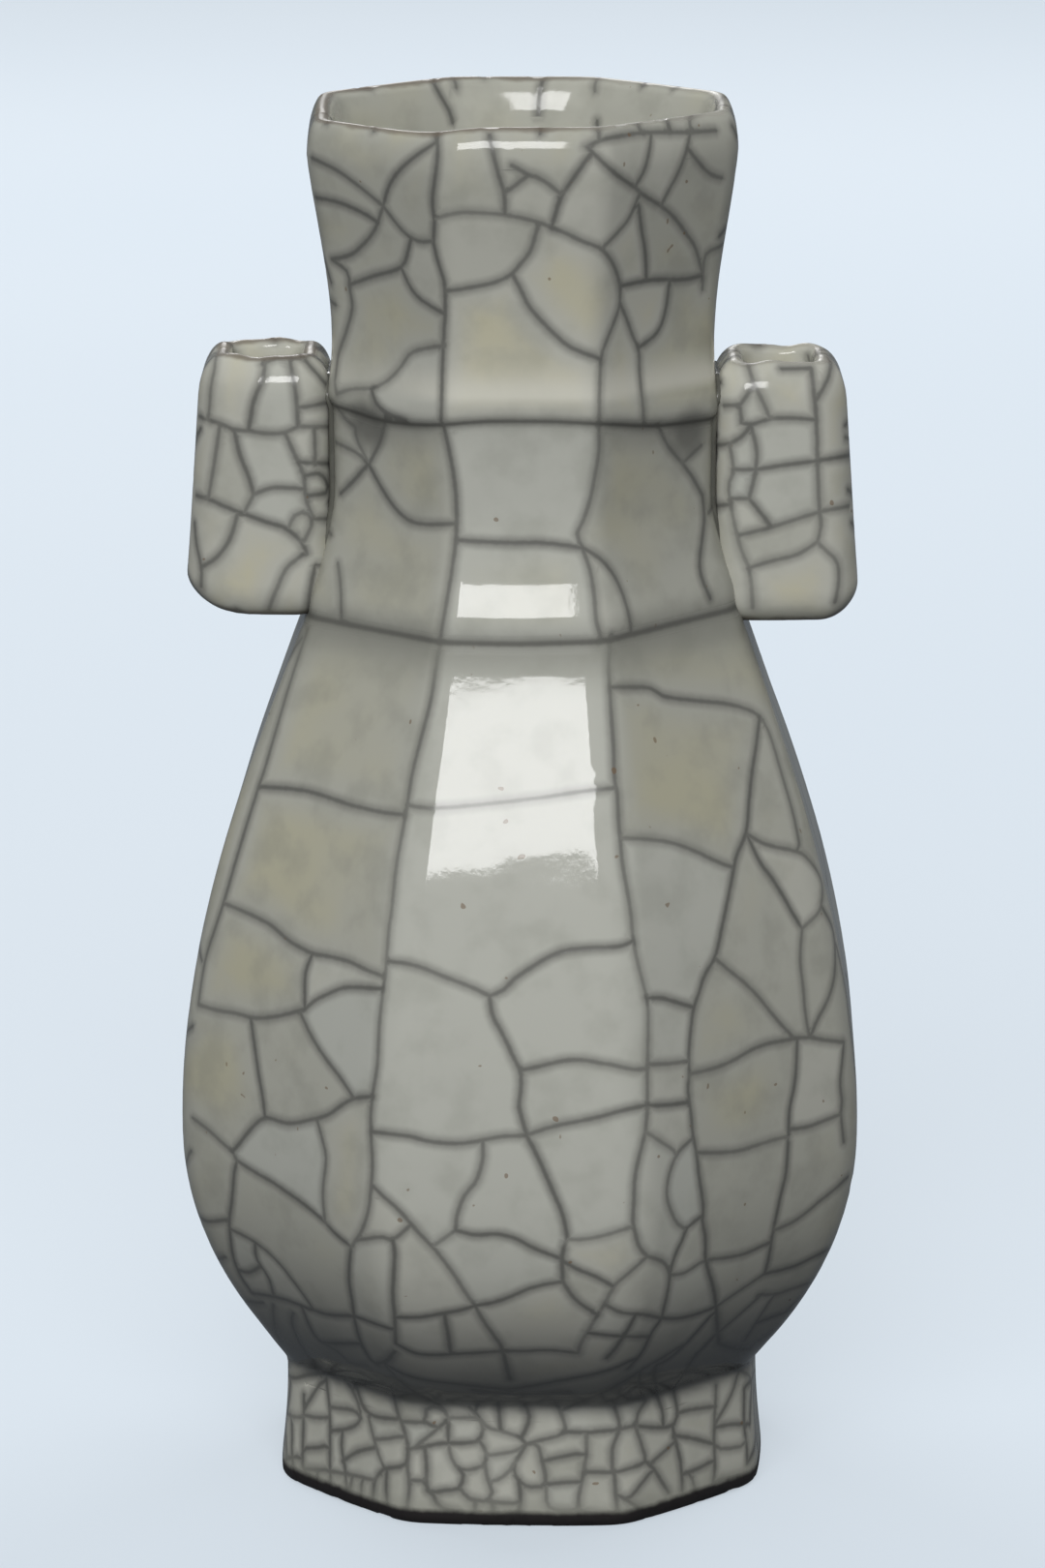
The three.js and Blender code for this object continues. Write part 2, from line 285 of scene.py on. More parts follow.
SHOULDER_LEAN = -0.56
FLARE_LEAN = -0.33
SKIRT_LEAN = -0.2
COLLAR_LEAN = -0.14
MOUTH_LEAN = 0.1
FUNNEL_LEAN = 0.04
LIP_SEAT_LEAN = 0.4
OUTLINE_STEP = 0.1
GLAZE_SOFTENING = 0.35


def stretch(low, high, count=60):
    """A smooth run between two stations, each (half width, height, growth of the half width)."""
    share = np.linspace(0, 1, count)[:, None]
    third = (high[1] - low[1]) / 3
    corners = np.array([
        (low[0], low[1]),
        (low[0] + low[2] * third, low[1] + third),
        (high[0] - high[2] * third, high[1] - third),
        (high[0], high[1])])
    return bezier(corners, share)


def bezier(corners, share):
    a, b, c, d = corners
    rest = 1 - share
    return a * rest**3 + 3 * b * rest**2 * share + 3 * c * rest * share**2 + d * share**3


def string(low_half, high_half, z, top, bulge):
    """A raised string: it swells just above its lower edge and runs out into the neck above."""
    corners = np.array([
        (low_half, z),
        (low_half + bulge, z),
        (high_half + bulge / 2, (z + top) / 2),
        (high_half, top)])
    return bezier(corners, np.linspace(0, 1, 40)[:, None])


def inside(run, wall):
    """The inner face behind a run of the outside, downwards."""
    return (run - (wall, 0))[::-1]


foot = stretch((FOOT_HALF, 0, FOOT_LEAN), (FOOT_TOP_HALF, FOOT_TOP, 0))
lower_belly = stretch((FOOT_TOP_HALF, SPRING_LINE, SPRING_LEAN), (BELLY_HALF, WIDEST, 0))
under_string = (UNDER_STRING_HALF, UNDER_STRING, UNDER_STRING_LEAN)
upper_belly = np.vstack([
    stretch((BELLY_HALF, WIDEST, 0), under_string),
    stretch(under_string, (SHOULDER_HALF, SHOULDER, SHOULDER_LEAN))])
skirt = (SKIRT_HALF, SKIRT, SKIRT_LEAN)
neck_base = np.vstack([
    stretch((FLARE_END_HALF, FLARE_END, FLARE_LEAN), skirt),
    stretch(skirt, (WAIST_HALF, WAIST, 0))])
neck_top = stretch((WAIST_HALF, WAIST, 0), (NECK_TOP_HALF, NECK_TOP, 0))
upper_neck = stretch((COLLAR_HALF, COLLAR, COLLAR_LEAN), (MOUTH_HALF, RIM_SEAT, MOUTH_LEAN))
lip_turn = np.linspace(0, math.pi / 2, 24)
lip_half = MOUTH_HALF - LIP_RADIUS
lip_outside = np.stack([lip_half + LIP_RADIUS * np.cos(lip_turn),
                        VASE_TOP - LIP_SLOPE * (1 - np.sin(lip_turn))], 1)
lip_inside = np.stack([lip_half - LIP_RADIUS * np.sin(lip_turn),
                       VASE_TOP - LIP_RADIUS * (1 - np.cos(lip_turn))], 1)
lip = np.vstack([lip_outside, lip_inside])
lip_seat = (MOUTH_HALF - 2 * LIP_RADIUS, VASE_TOP - LIP_RADIUS)
funnel_half = np.interp(FUNNEL_FOOT, upper_neck[:, 1], upper_neck[:, 0]) - FUNNEL_WALL
funnel = stretch((funnel_half, FUNNEL_FOOT, FUNNEL_LEAN), (*lip_seat, LIP_SEAT_LEAN))[::-1]
bore_top = upper_neck[upper_neck[:, 1] < FUNNEL_FOOT - FUNNEL_EASE]
foot_bore = FOOT_TOP_HALF - FOOT_WALL
belly_inside = inside(np.vstack([lower_belly[lower_belly[:, 1] > FLOOR], upper_belly]), BELLY_WALL)
outline = np.vstack([
    [(0, RECESS), (foot_bore, RECESS), (foot_bore, FOOT_EDGE), (foot_bore + FOOT_EDGE, 0)],
    [(FOOT_HALF - FOOT_EDGE, 0)],
    foot[foot[:, 1] > FOOT_EDGE],
    lower_belly, upper_belly,
    [(FLARE_END_HALF + LOWER_BULGE, SHOULDER)],
    neck_base, neck_top,
    string(NECK_TOP_HALF, COLLAR_HALF, NECK_TOP, COLLAR, UPPER_BULGE),
    upper_neck, lip, funnel,
    inside(bore_top, NECK_WALL), inside(neck_top, NECK_WALL), inside(neck_base, NECK_WALL),
    belly_inside, [(belly_inside[-1][0], FLOOR), (0, FLOOR)]])


def along(points):
    """Distance from the first point, along a chain of points."""
    return np.concatenate([[0], np.cumsum(np.linalg.norm(np.diff(points, axis=0), axis=1))])


def evenly(points, step, places=None):
    """Points at even steps along a chain, measured between their places where these are given."""
    run = along(points if places is None else places)
    keep = np.concatenate([[True], np.diff(run) > 1e-6])
    marks = np.linspace(0, run[-1], max(2, int(round(run[-1] / step)) + 1))
    return np.stack([np.interp(marks, run[keep], points[keep, k]) for k in range(points.shape[1])], 1)


def softened(points, step, radius):
    """Rounds the corners of a chain of even points by a weighted mean of the near ones."""
    reach = int(4 * radius / step)
    weights = np.exp(-0.5 * (np.arange(-reach, reach + 1) * step / radius) ** 2)
    padded = np.pad(points, ((reach, reach), (0, 0)), mode="edge")
    columns = [np.convolve(column, weights / weights.sum(), mode="valid") for column in padded.T]
    return np.stack(columns, 1)


outline = softened(evenly(outline, OUTLINE_STEP), OUTLINE_STEP, GLAZE_SOFTENING)
RUN = along(outline)
HALF, HEIGHT = outline.T
GROWTH = np.gradient(HALF, RUN)
CLIMB = np.gradient(HEIGHT, RUN)
sole_end = np.argmin(HEIGHT) + int(FOOT_WALL * 0.5 / OUTLINE_STEP)
crest = np.argmax(HEIGHT)


def outside_run(z):
    return float(np.interp(z, HEIGHT[sole_end:crest], RUN[sole_end:crest]))


def inside_run(z):
    return float(np.interp(-z, -HEIGHT[crest:], RUN[crest:]))


STRING_RUNS = np.array([outside_run(SHOULDER), outside_run(NECK_TOP)])
print("outline:", len(outline), "points,", round(RUN[-1], 1), "mm round the wall")

# %% [markdown]
# ## Wrapping the outline round an octagon
# The plan is an octagon with narrow front, back and side faces and rounded corners. A Geometry Nodes
# tree carries flat points round it: each point holds its share of the way round, its half width and
# its height, and the tree samples the plan curve there. Hand work is in the tree as well: the belly
# sits a little turned under the neck, the lower string climbs to the right and lifts at the far left,
# and the upper one rises in front and sags at both sides. Each point also keeps how near the strings'
# creases and the lip are, because the glaze gathers and thins there.

# %% Plan of the vase
FACE_SHARE = 0.37
FOOT_FACE_SHARE = 0.46
CORNER_SHARE = 0.2
FACES = 8
FACE_TURN = 2 * math.pi / FACES
CORNER_STEPS = 12
FLAT_STEPS = 12
SEAM_FACE = 2


def corner_arc(face, face_share):
    """The rounded corner after a face, for a half width of 1."""
    reach = [(1, (1 + face_share) / math.sqrt(2))[k % 2] - CORNER_SHARE for k in (face, face + 1)]
    side = (reach[1] - reach[0] * math.cos(FACE_TURN)) / math.sin(FACE_TURN)
    turn = face * FACE_TURN
    x = reach[0] * math.cos(turn) - side * math.sin(turn)
    y = reach[0] * math.sin(turn) + side * math.cos(turn)
    angles = turn + FACE_TURN * np.linspace(0, 1, CORNER_STEPS + 1)
    return np.stack([x + CORNER_SHARE * np.cos(angles), y + CORNER_SHARE * np.sin(angles)], 1)


def octagon(face_share):
    """A closed plan that starts in the middle of a corner at the back."""
    arcs = [corner_arc(SEAM_FACE + k, face_share) for k in range(FACES + 1)]
    middle = CORNER_STEPS // 2
    points = [arcs[0][middle:]]
    for before, after in zip(arcs, arcs[1:]):
        shares = np.linspace(0, 1, FLAT_STEPS + 1)[1:-1, None]
        points.append(before[-1] * (1 - shares) + after[0] * shares)
        points.append(after)
    points = np.vstack(points)[:-middle - 1]
    return np.vstack([points, points[:1]])


def plan_curve(name, points):
    curve = bpy.data.curves.new(name, "CURVE")
    curve.dimensions = "3D"
    line = curve.splines.new("POLY")
    line.points.add(len(points) - 2)
    line.points.foreach_set("co", np.pad(points[:-1], ((0, 0), (0, 2))).ravel())
    line.use_cyclic_u = True
    drawn = bpy.data.objects.new(name, curve)
    scene.collection.objects.link(drawn)
    return drawn


closed_plan = octagon(FACE_SHARE)
foot_plan = octagon(FOOT_FACE_SHARE)
plan_objects = [plan_curve("octagon plan", closed_plan), plan_curve("foot plan", foot_plan)]
plan_round = along(closed_plan)[-1]
PLAN_SHARE = along(closed_plan) / plan_round
FOOT_PLAN_SHARE = along(foot_plan) / along(foot_plan)[-1]
print("plans:", len(closed_plan), "points,", round(plan_round, 3), "round for a half width of 1")

# %% The tree that wraps flat points round the plan
BELLY_TURN = math.radians(-2)
TURN_LEVELS = (62.0, 97.0)
STRING_REACH = 13.0
LOWER_LIFT = 0.75
LOWER_LIFT_SIDE = math.radians(20)
LEFT_LIFT = 0.45
LEFT_LIFT_SWAY = (0.3, 0.75)
UPPER_DROP = 1.5
UPPER_DROP_SWAY = (0.1, 1.0)
LEFT_DROP = 0.7
LEFT_DROP_START = (-0.15, -0.55)
LEFT_DROP_END = (-0.98, -0.75)
FRONT_RISE = 0.5
FRONT_SWAY = (0.3, 0.75)
FOOT_PLAN_LEVELS = (10.5, 18.0)
RIM_DIP = 0.9
RIM_DIP_SIDE = math.radians(217)
RIM_DIP_REACH = 11.0
RIM_DIP_SWAY = (0.72, 0.97)
ROUND_LEVELS = [0, 12, 20, 45, 130, 147]
ROUND_SHARES = [0.26, 0.24, 0.16, 0, 0, 0.12]
INNER_ROUNDNESS = 0.6
ROUND_REACH = 9.0
WOBBLE = 0.22
WOBBLE_GRAIN = 45.0
WOBBLE_START = (2.0, 12.0)
CREASE_SPREAD = 0.8
# Reach of the painted shade above and below the string creases, in millimetres
DUSK_ABOVE = 1.2
DUSK_BELOW = 2.4
LINE_DROP = 0.35

wrap_tree, given = geometry_tree("octagon wrap", {
    "Plan": "Object", "Foot plan": "Object", "Unit": "Float", "Belly turn": "Float",
    "Lower string lift": "Float", "Upper string drop": "Float", "Rim dip": "Float", "Wobble": "Float"})
share, half, height = given["Geometry"].node("GeometryNodeInputPosition").parts()
samples = []
for plan_name in ("Plan", "Foot plan"):
    plan_info = share.node("GeometryNodeObjectInfo", None, {"Object": given[plan_name]}, "Geometry")
    samples.append(share.node(
        "GeometryNodeSampleCurve", {"mode": "FACTOR"}, {"Curves": plan_info, "Factor": share}, "Position"))
footing = height.fade(*FOOT_PLAN_LEVELS)
sample = samples[0].towards(samples[1], footing)
plan_x, plan_y, _ = sample.parts()
tx, ty, _ = samples[0].other("Tangent").towards(samples[1].other("Tangent"), footing).parts()
reach = sample.vector("LENGTH", (0, 0, 0), "Value")
lean = share.node(
    "GeometryNodeInputNamedAttribute", {"data_type": "FLOAT_VECTOR"}, {"Name": "lean"}, "Attribute")
growth, climb, roundness = lean.parts()
even = 1 - roundness + roundness / reach
px, py = plan_x * even, plan_y * even
out_x = ty * (1 - roundness) + plan_x / reach * roundness
out_y = plan_y / reach * roundness - tx * (1 - roundness)
to_right = (plan_x * math.cos(LOWER_LIFT_SIDE) + plan_y * math.sin(LOWER_LIFT_SIDE)) / reach
lower_near = (height - (SHOULDER + NECK_BASE) / 2).size().fade(0.0, STRING_REACH)
upper_near = (height - (NECK_TOP + COLLAR) / 2).size().fade(0.0, STRING_REACH)
lift = (to_right + 1) * given["Lower string lift"] + (0 - to_right).ease(*LEFT_LIFT_SWAY) * LEFT_LIFT
lift = lift * lower_near
sway = plan_x / reach
drop = sway.ease(*UPPER_DROP_SWAY) * given["Upper string drop"]
drop = drop + sway.ease(*LEFT_DROP_START) * sway.ease(*LEFT_DROP_END) * LEFT_DROP
drop = (drop - sway.size().fade(*FRONT_SWAY) * FRONT_RISE) * upper_near
to_dip = (plan_x * math.cos(RIM_DIP_SIDE) + plan_y * math.sin(RIM_DIP_SIDE)) / reach
dip = to_dip.ease(*RIM_DIP_SWAY) * height.ease(VASE_TOP - RIM_DIP_REACH, VASE_TOP) * given["Rim dip"]
flat_place = share.vector_of(px * half, py * half, height)
hand = (flat_place.noise(WOBBLE_GRAIN, 1.0) - 0.5) * 2 * given["Wobble"]
wide = half + hand * half.ease(*WOBBLE_START)
place = share.vector_of(px * wide, py * wide, height + lift - drop - dip).scaled(given["Unit"])
support = px * out_x + py * out_y
facing = share.vector_of(out_x * climb, out_y * climb, 0 - support * growth)
turn = height.fade(*TURN_LEVELS) * given["Belly turn"]
turned = [
    vector.node("ShaderNodeVectorRotate", {"rotation_type": "Z_AXIS"}, {"Vector": vector, "Angle": turn})
    for vector in (place, facing.vector("NORMALIZE", (0, 0, 0)))]
wrapped = share.node(
    "GeometryNodeStoreNamedAttribute", {"data_type": "FLOAT_VECTOR", "domain": "POINT"},
    {"Geometry": given["Geometry"], "Name": "facing", "Value": turned[1]})
wrapped = share.node("GeometryNodeSetPosition", None, {"Geometry": wrapped, "Position": turned[0]})
close_tree(wrapped, given["Material"])
outer_round = np.interp(HEIGHT, ROUND_LEVELS, ROUND_SHARES)
inner_round = np.interp(RUN - RUN[crest], [0, ROUND_REACH], [ROUND_SHARES[-1], INNER_ROUNDNESS])
ROUNDNESS = np.where(np.arange(len(RUN)) < crest, outer_round, inner_round)
WRAP_VALUES = {
    "Plan": plan_objects[0], "Foot plan": plan_objects[1], "Unit": MM, "Belly turn": BELLY_TURN,
    "Lower string lift": LOWER_LIFT, "Upper string drop": UPPER_DROP, "Rim dip": RIM_DIP, "Wobble": WOBBLE}


def flat_points(shares, runs):
    """Flat points for the tree: share of the way round, half width, height."""
    return np.stack([shares, np.interp(runs, RUN, HALF), np.interp(runs, RUN, HEIGHT)], 1)


def wrap_up(name, shares, runs, edges=(), faces=()):
    """A mesh object of flat points with the wrap tree on it."""
    piece = add_mesh(name, flat_points(shares, runs), edges, faces)
    leans = np.stack([np.interp(runs, RUN, values) for values in (GROWTH, CLIMB, ROUNDNESS)], 1)
    store(piece.data, "lean", leans, "FLOAT_VECTOR")
    store(piece.data, "crest_gap", np.abs(runs - RUN[crest]))
    # Nearness to the string creases: crease_shade roughens each crease and paints a dark line of shade in
    # it, crease_dusk sets the wider painted shade round the strings
    above = runs[:, None] - (STRING_RUNS - (LINE_DROP, 0))
    store(piece.data, "crease_shade", np.exp(-(above / CREASE_SPREAD) ** 2).max(1))
    spread = np.where(above > 0, DUSK_ABOVE, DUSK_BELOW)
    store(piece.data, "crease_dusk", np.exp(-(above / spread) ** 2).max(1))
    add_tree(piece, wrap_tree, WRAP_VALUES)
    return piece


print("wrap tree:", len(wrap_tree.nodes), "nodes")

# %% [markdown]
# ## Sheets
# A crack is a line on a surface, so each surface gets a flat address: how far round, and how far
# along its outline. A Sheet keeps a fine grid of such addresses with their places in space. It turns
# addresses into places, and finds the address that a pixel of the photograph looks at.

# %% The camera of the photograph, and a surface with flat addresses
PHOTO_SIZE = (1080, 1620)
FOCAL_PIXELS = 6491.7
CAMERA_BACK = 654.41
CAMERA_HEIGHT = 230.83
CAMERA_PITCH = math.radians(13.423)
CAMERA_PLACE = np.array([0, -CAMERA_BACK, CAMERA_HEIGHT])
NUDGE = 1.5
NUDGES = 12
GRAZING = 0.12
LOOK_ROUND = 0.002
LOOK_ALONG = 0.4
LEAST_ROUND = 4.0


def pixel_ray(x, y):
    """Direction in which the camera sees a pixel of the photograph."""
    right = (x - PHOTO_SIZE[0] / 2) / FOCAL_PIXELS
    up = (PHOTO_SIZE[1] / 2 - y) / FOCAL_PIXELS
    sine, cosine = math.sin(CAMERA_PITCH), math.cos(CAMERA_PITCH)
    return Vector((right, cosine + up * sine, up * cosine - sine)).normalized()


def flat_grid(shares, runs):
    return np.stack(np.meshgrid(shares, runs), 2).reshape(-1, 2)


class Sheet:
    """A surface with flat addresses (share of the way round, run along the outline), in millimetres."""

    def __init__(self, shares, runs, places):
        self.shares, self.runs, self.places = shares, runs, places
        steps = np.linalg.norm(np.diff(places, axis=1), axis=2)
        self.rounds = steps.sum(1)
        self.width = float(np.mean(self.rounds))
        columns = len(shares)
        corners = [row * columns + column
                   for row in range(len(runs) - 1) for column in range(columns - 1)]
        self.triangles = [
            triangle for c in corners
            for triangle in ((c, c + 1, c + columns + 1), (c, c + columns + 1, c + columns))]
        self.flat = flat_grid(shares, runs)
        points = places.reshape(-1, 3)
        self.tree = BVHTree.FromPolygons(points.tolist(), self.triangles, all_triangles=True)
        self.points = points
        depth = CAMERA_BACK / math.cos(CAMERA_PITCH)
        self.middle = PHOTO_SIZE[0] / 2 + points[:, 0].mean() * FOCAL_PIXELS / depth

    def round_at(self, run):
        return np.maximum(np.interp(run, self.runs, self.rounds), LEAST_ROUND)

    def at(self, address):
        """Places in space of an array of addresses."""
        column = np.interp(address[:, 0], self.shares, np.arange(len(self.shares)))
        row = np.interp(address[:, 1], self.runs, np.arange(len(self.runs)))
        c = np.minimum(column.astype(int), len(self.shares) - 2)
        r = np.minimum(row.astype(int), len(self.runs) - 2)
        u, v = (column - c)[:, None], (row - r)[:, None]
        low = self.places[r, c] * (1 - u) + self.places[r, c + 1] * u
        high = self.places[r + 1, c] * (1 - u) + self.places[r + 1, c + 1] * u
        return low * (1 - v) + high * v

    def towards_camera(self, address):
        """How squarely the surface faces the camera, from -1 to 1."""
        here = self.at(address)
        side = self.at(address + (LOOK_ROUND, 0)) - self.at(address - (LOOK_ROUND, 0))
        up = self.at(address + (0, LOOK_ALONG)) - self.at(address - (0, LOOK_ALONG))
        normal = np.cross(side, up)
        view = CAMERA_PLACE - here
        lengths = np.linalg.norm(normal, axis=1) * np.linalg.norm(view, axis=1)
        return (normal * view).sum(1) / np.maximum(lengths, 1e-9)

    def seen(self, x, y):
        """The address under a pixel, or None. A pixel just off the edge is nudged inwards."""
        for nudge in range(NUDGES):
            inwards = math.copysign(NUDGE * nudge, self.middle - x)
            ray = pixel_ray(x + inwards, y)
            hit, normal, index, _ = self.tree.ray_cast(Vector(CAMERA_PLACE), ray)
            if hit is not None and abs(normal.dot(ray)) > GRAZING:
                corners = self.triangles[index]
                a, b, c = self.points[list(corners)]
                weights, *_ = np.linalg.lstsq(np.stack([b - a, c - a], 1), np.array(hit) - a, rcond=None)
                fa, fb, fc = self.flat[list(corners)]
                return fa + (fb - fa) * weights[0] + (fc - fa) * weights[1]
        return None


SHEET_COLUMNS = 241
SHEET_STEP = 1.1
sheet_shares = np.linspace(0, 1, SHEET_COLUMNS)
sheet_runs = np.linspace(0, RUN[-1], int(RUN[-1] / SHEET_STEP))
probe = make_plain(wrap_up("probe", *flat_grid(sheet_shares, sheet_runs).T))
places = read(probe.data, "position") / MM
bpy.data.objects.remove(probe)
body = Sheet(sheet_shares, sheet_runs, places.reshape(len(sheet_runs), SHEET_COLUMNS, 3))
print("body sheet:", places.min(0).round(1), "to", places.max(0).round(1))

# %% [markdown]
# ## The handle tubes
# Each handle is a short open tube of rounded rectangular section, leaning a little outwards at the
# bottom. Its lip rolls widely over the outside and tightly into the bore. A formula gives each point:
# the plan of the tube drawn in by an inset, at the height of that inset along the lip and wall.

# %% Shape of a tube
tube_low, tube_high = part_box("handle_tube_right")
TUBE_BOTTOM = tube_low.z / MM
TUBE_TOP = tube_high.z / MM
TUBE_DEPTH = tube_high.y / MM
TUBE_LEAN = math.tan(math.radians(4))
TUBE_INNER = WAIST_HALF + 0.35
TUBE_OUTER = 34.7
TUBE_WALL = 3.2
TUBE_CORNER = 3.2
TUBE_TOP_ROLL = 4.2
TUBE_BOTTOM_ROLL = 3.4
TUBE_BORE_ROLL = 0.9
TUBE_CROWN = 0.5
CROWN_SHIFT = {"right": -0.28, "left": -0.5}
TUBE_SHIFT = {"right": -0.3, "left": 0.3}
CORNER_LIFT = {"right": 1.8, "left": 2.6}
CORNER_REACH = {"right": 4.6, "left": 7.0}
LIP_BUMPS = [(5, 0.14, 0.4), (9, 0.08, 2.1)]
LIP_BUMP_REACH = 3.5
tube_middle = (TUBE_BOTTOM + TUBE_TOP) / 2


def quarter(start, end, count=20):
    """A quarter turn that leaves upright and arrives level."""
    angle = np.linspace(0, math.pi / 2, count)
    shift = np.subtract(end, start)
    return np.array(start) + np.stack([1 - np.cos(angle), np.sin(angle)], 1) * shift


crest_inset = TUBE_WALL - TUBE_BORE_ROLL
tube_outline = np.vstack([
    [(TUBE_WALL, tube_middle)],
    quarter((TUBE_WALL, TUBE_BOTTOM + TUBE_BORE_ROLL), (crest_inset, TUBE_BOTTOM)),
    quarter((0, TUBE_BOTTOM + TUBE_BOTTOM_ROLL), (crest_inset, TUBE_BOTTOM))[::-1],
    quarter((0, TUBE_TOP - TUBE_TOP_ROLL), (crest_inset, TUBE_TOP)),
    quarter((TUBE_WALL, TUBE_TOP - TUBE_BORE_ROLL), (crest_inset, TUBE_TOP))[::-1],
    [(TUBE_WALL, tube_middle)]])
tube_outline = softened(evenly(tube_outline, OUTLINE_STEP), OUTLINE_STEP, GLAZE_SOFTENING)
TUBE_RUN = along(tube_outline)
TUBE_INSET, TUBE_HEIGHT = tube_outline.T
TUBE_DRAW = np.gradient(TUBE_INSET, TUBE_RUN)
TUBE_CLIMB = np.gradient(TUBE_HEIGHT, TUBE_RUN)
quarter_round = TUBE_CORNER * math.pi / 2
flat_across = TUBE_OUTER - TUBE_INNER - 2 * TUBE_CORNER
flat_deep = 2 * (TUBE_DEPTH - TUBE_CORNER)
legs = np.array([flat_deep / 2, quarter_round, flat_across, quarter_round, flat_deep,
                 quarter_round, flat_across, quarter_round, flat_deep / 2])
LEG_SHARE = np.concatenate([[0], np.cumsum(legs)]) / legs.sum()
LEG_TURN = np.array([2, 2, 3, 3, 4, 4, 5, 5, 6, 6]) * math.pi / 2


def tube_surface(shares, runs, side):
    """Places on a tube as the right-hand one stands, starting at the middle of its inner side."""
    shares, runs = np.mod(shares, 1), np.mod(runs, TUBE_RUN[-1])
    inset, z = np.interp(runs, TUBE_RUN, TUBE_INSET), np.interp(runs, TUBE_RUN, TUBE_HEIGHT)
    leg = np.clip(np.searchsorted(LEG_SHARE, shares, side="right") - 1, 0, len(legs) - 1)
    part = (shares - LEG_SHARE[leg]) / (LEG_SHARE[leg + 1] - LEG_SHARE[leg])
    lean = (tube_middle - z) * TUBE_LEAN
    radius = TUBE_CORNER - inset / 2
    inner, outer = TUBE_INNER + inset + radius, TUBE_OUTER + lean - inset - radius
    deep = TUBE_DEPTH - inset - radius
    corner_x = np.stack([inner, inner, inner, outer, outer, outer, outer, inner, inner, inner], 1)
    corner_y = np.stack([0 * deep, -deep, -deep, -deep, -deep, deep, deep, deep, deep, 0 * deep], 1)
    rows = np.arange(len(leg))
    start = np.stack([corner_x[rows, leg], corner_y[rows, leg]], 1)
    end = np.stack([corner_x[rows, leg + 1], corner_y[rows, leg + 1]], 1)
    angle = LEG_TURN[leg] * (1 - part) + LEG_TURN[leg + 1] * part
    x, y = (start * (1 - part[:, None]) + end * part[:, None]).T + radius * (np.cos(angle), np.sin(angle))
    across = (2 * x - TUBE_INNER - TUBE_OUTER) / (TUBE_OUTER - TUBE_INNER)
    crown = TUBE_CROWN * (across - CROWN_SHIFT[side])**2
    y = y - np.sign(y) * np.minimum(np.abs(y) / 2, crown)
    low = np.clip((tube_middle - z) / (tube_middle - TUBE_BOTTOM), 0, 1)
    near_corner = np.clip((x - TUBE_OUTER - lean) / CORNER_REACH[side] + 1, 0, 1)
    high = np.clip((z - TUBE_TOP) / LIP_BUMP_REACH + 1, 0, 1)
    bumps = sum(size * np.sin(2 * math.pi * count * shares + phase) for count, size, phase in LIP_BUMPS)
    z = z + CORNER_LIFT[side] * near_corner**2 * low**3 + bumps * high**2 + TUBE_SHIFT[side]
    return np.stack([x, y, z], 1)


def tube_points(shares, runs, side):
    """Places and outward directions on a handle tube."""
    round_step, run_step = 1e-3, 0.05
    ahead = tube_surface(shares + round_step, runs, side) - tube_surface(shares - round_step, runs, side)
    up = tube_surface(shares, runs + run_step, side) - tube_surface(shares, runs - run_step, side)
    facing = np.cross(ahead, up)
    facing /= np.linalg.norm(facing, axis=1)[:, None]
    return to_side(tube_surface(shares, runs, side), side), to_side(facing, side)


def to_side(vectors, side):
    """Turns the right-hand handle half round for the left-hand one."""
    return vectors * (1, 1, 1) if side == "right" else vectors * (-1, -1, 1)


TUBE_COLUMNS = 121
TUBE_SHEET_STEP = 0.5
tube_shares = np.linspace(0, 1, TUBE_COLUMNS)
tube_runs = np.linspace(0, TUBE_RUN[-1], int(TUBE_RUN[-1] / TUBE_SHEET_STEP))
tubes = {}
for side in ("right", "left"):
    tube_places = tube_points(*flat_grid(tube_shares, tube_runs).T, side)[0]
    tubes[side] = Sheet(tube_shares, tube_runs, tube_places.reshape(len(tube_runs), TUBE_COLUMNS, 3))
    print(side, "tube sheet:", tube_places.min(0).round(1), "to", tube_places.max(0).round(1))
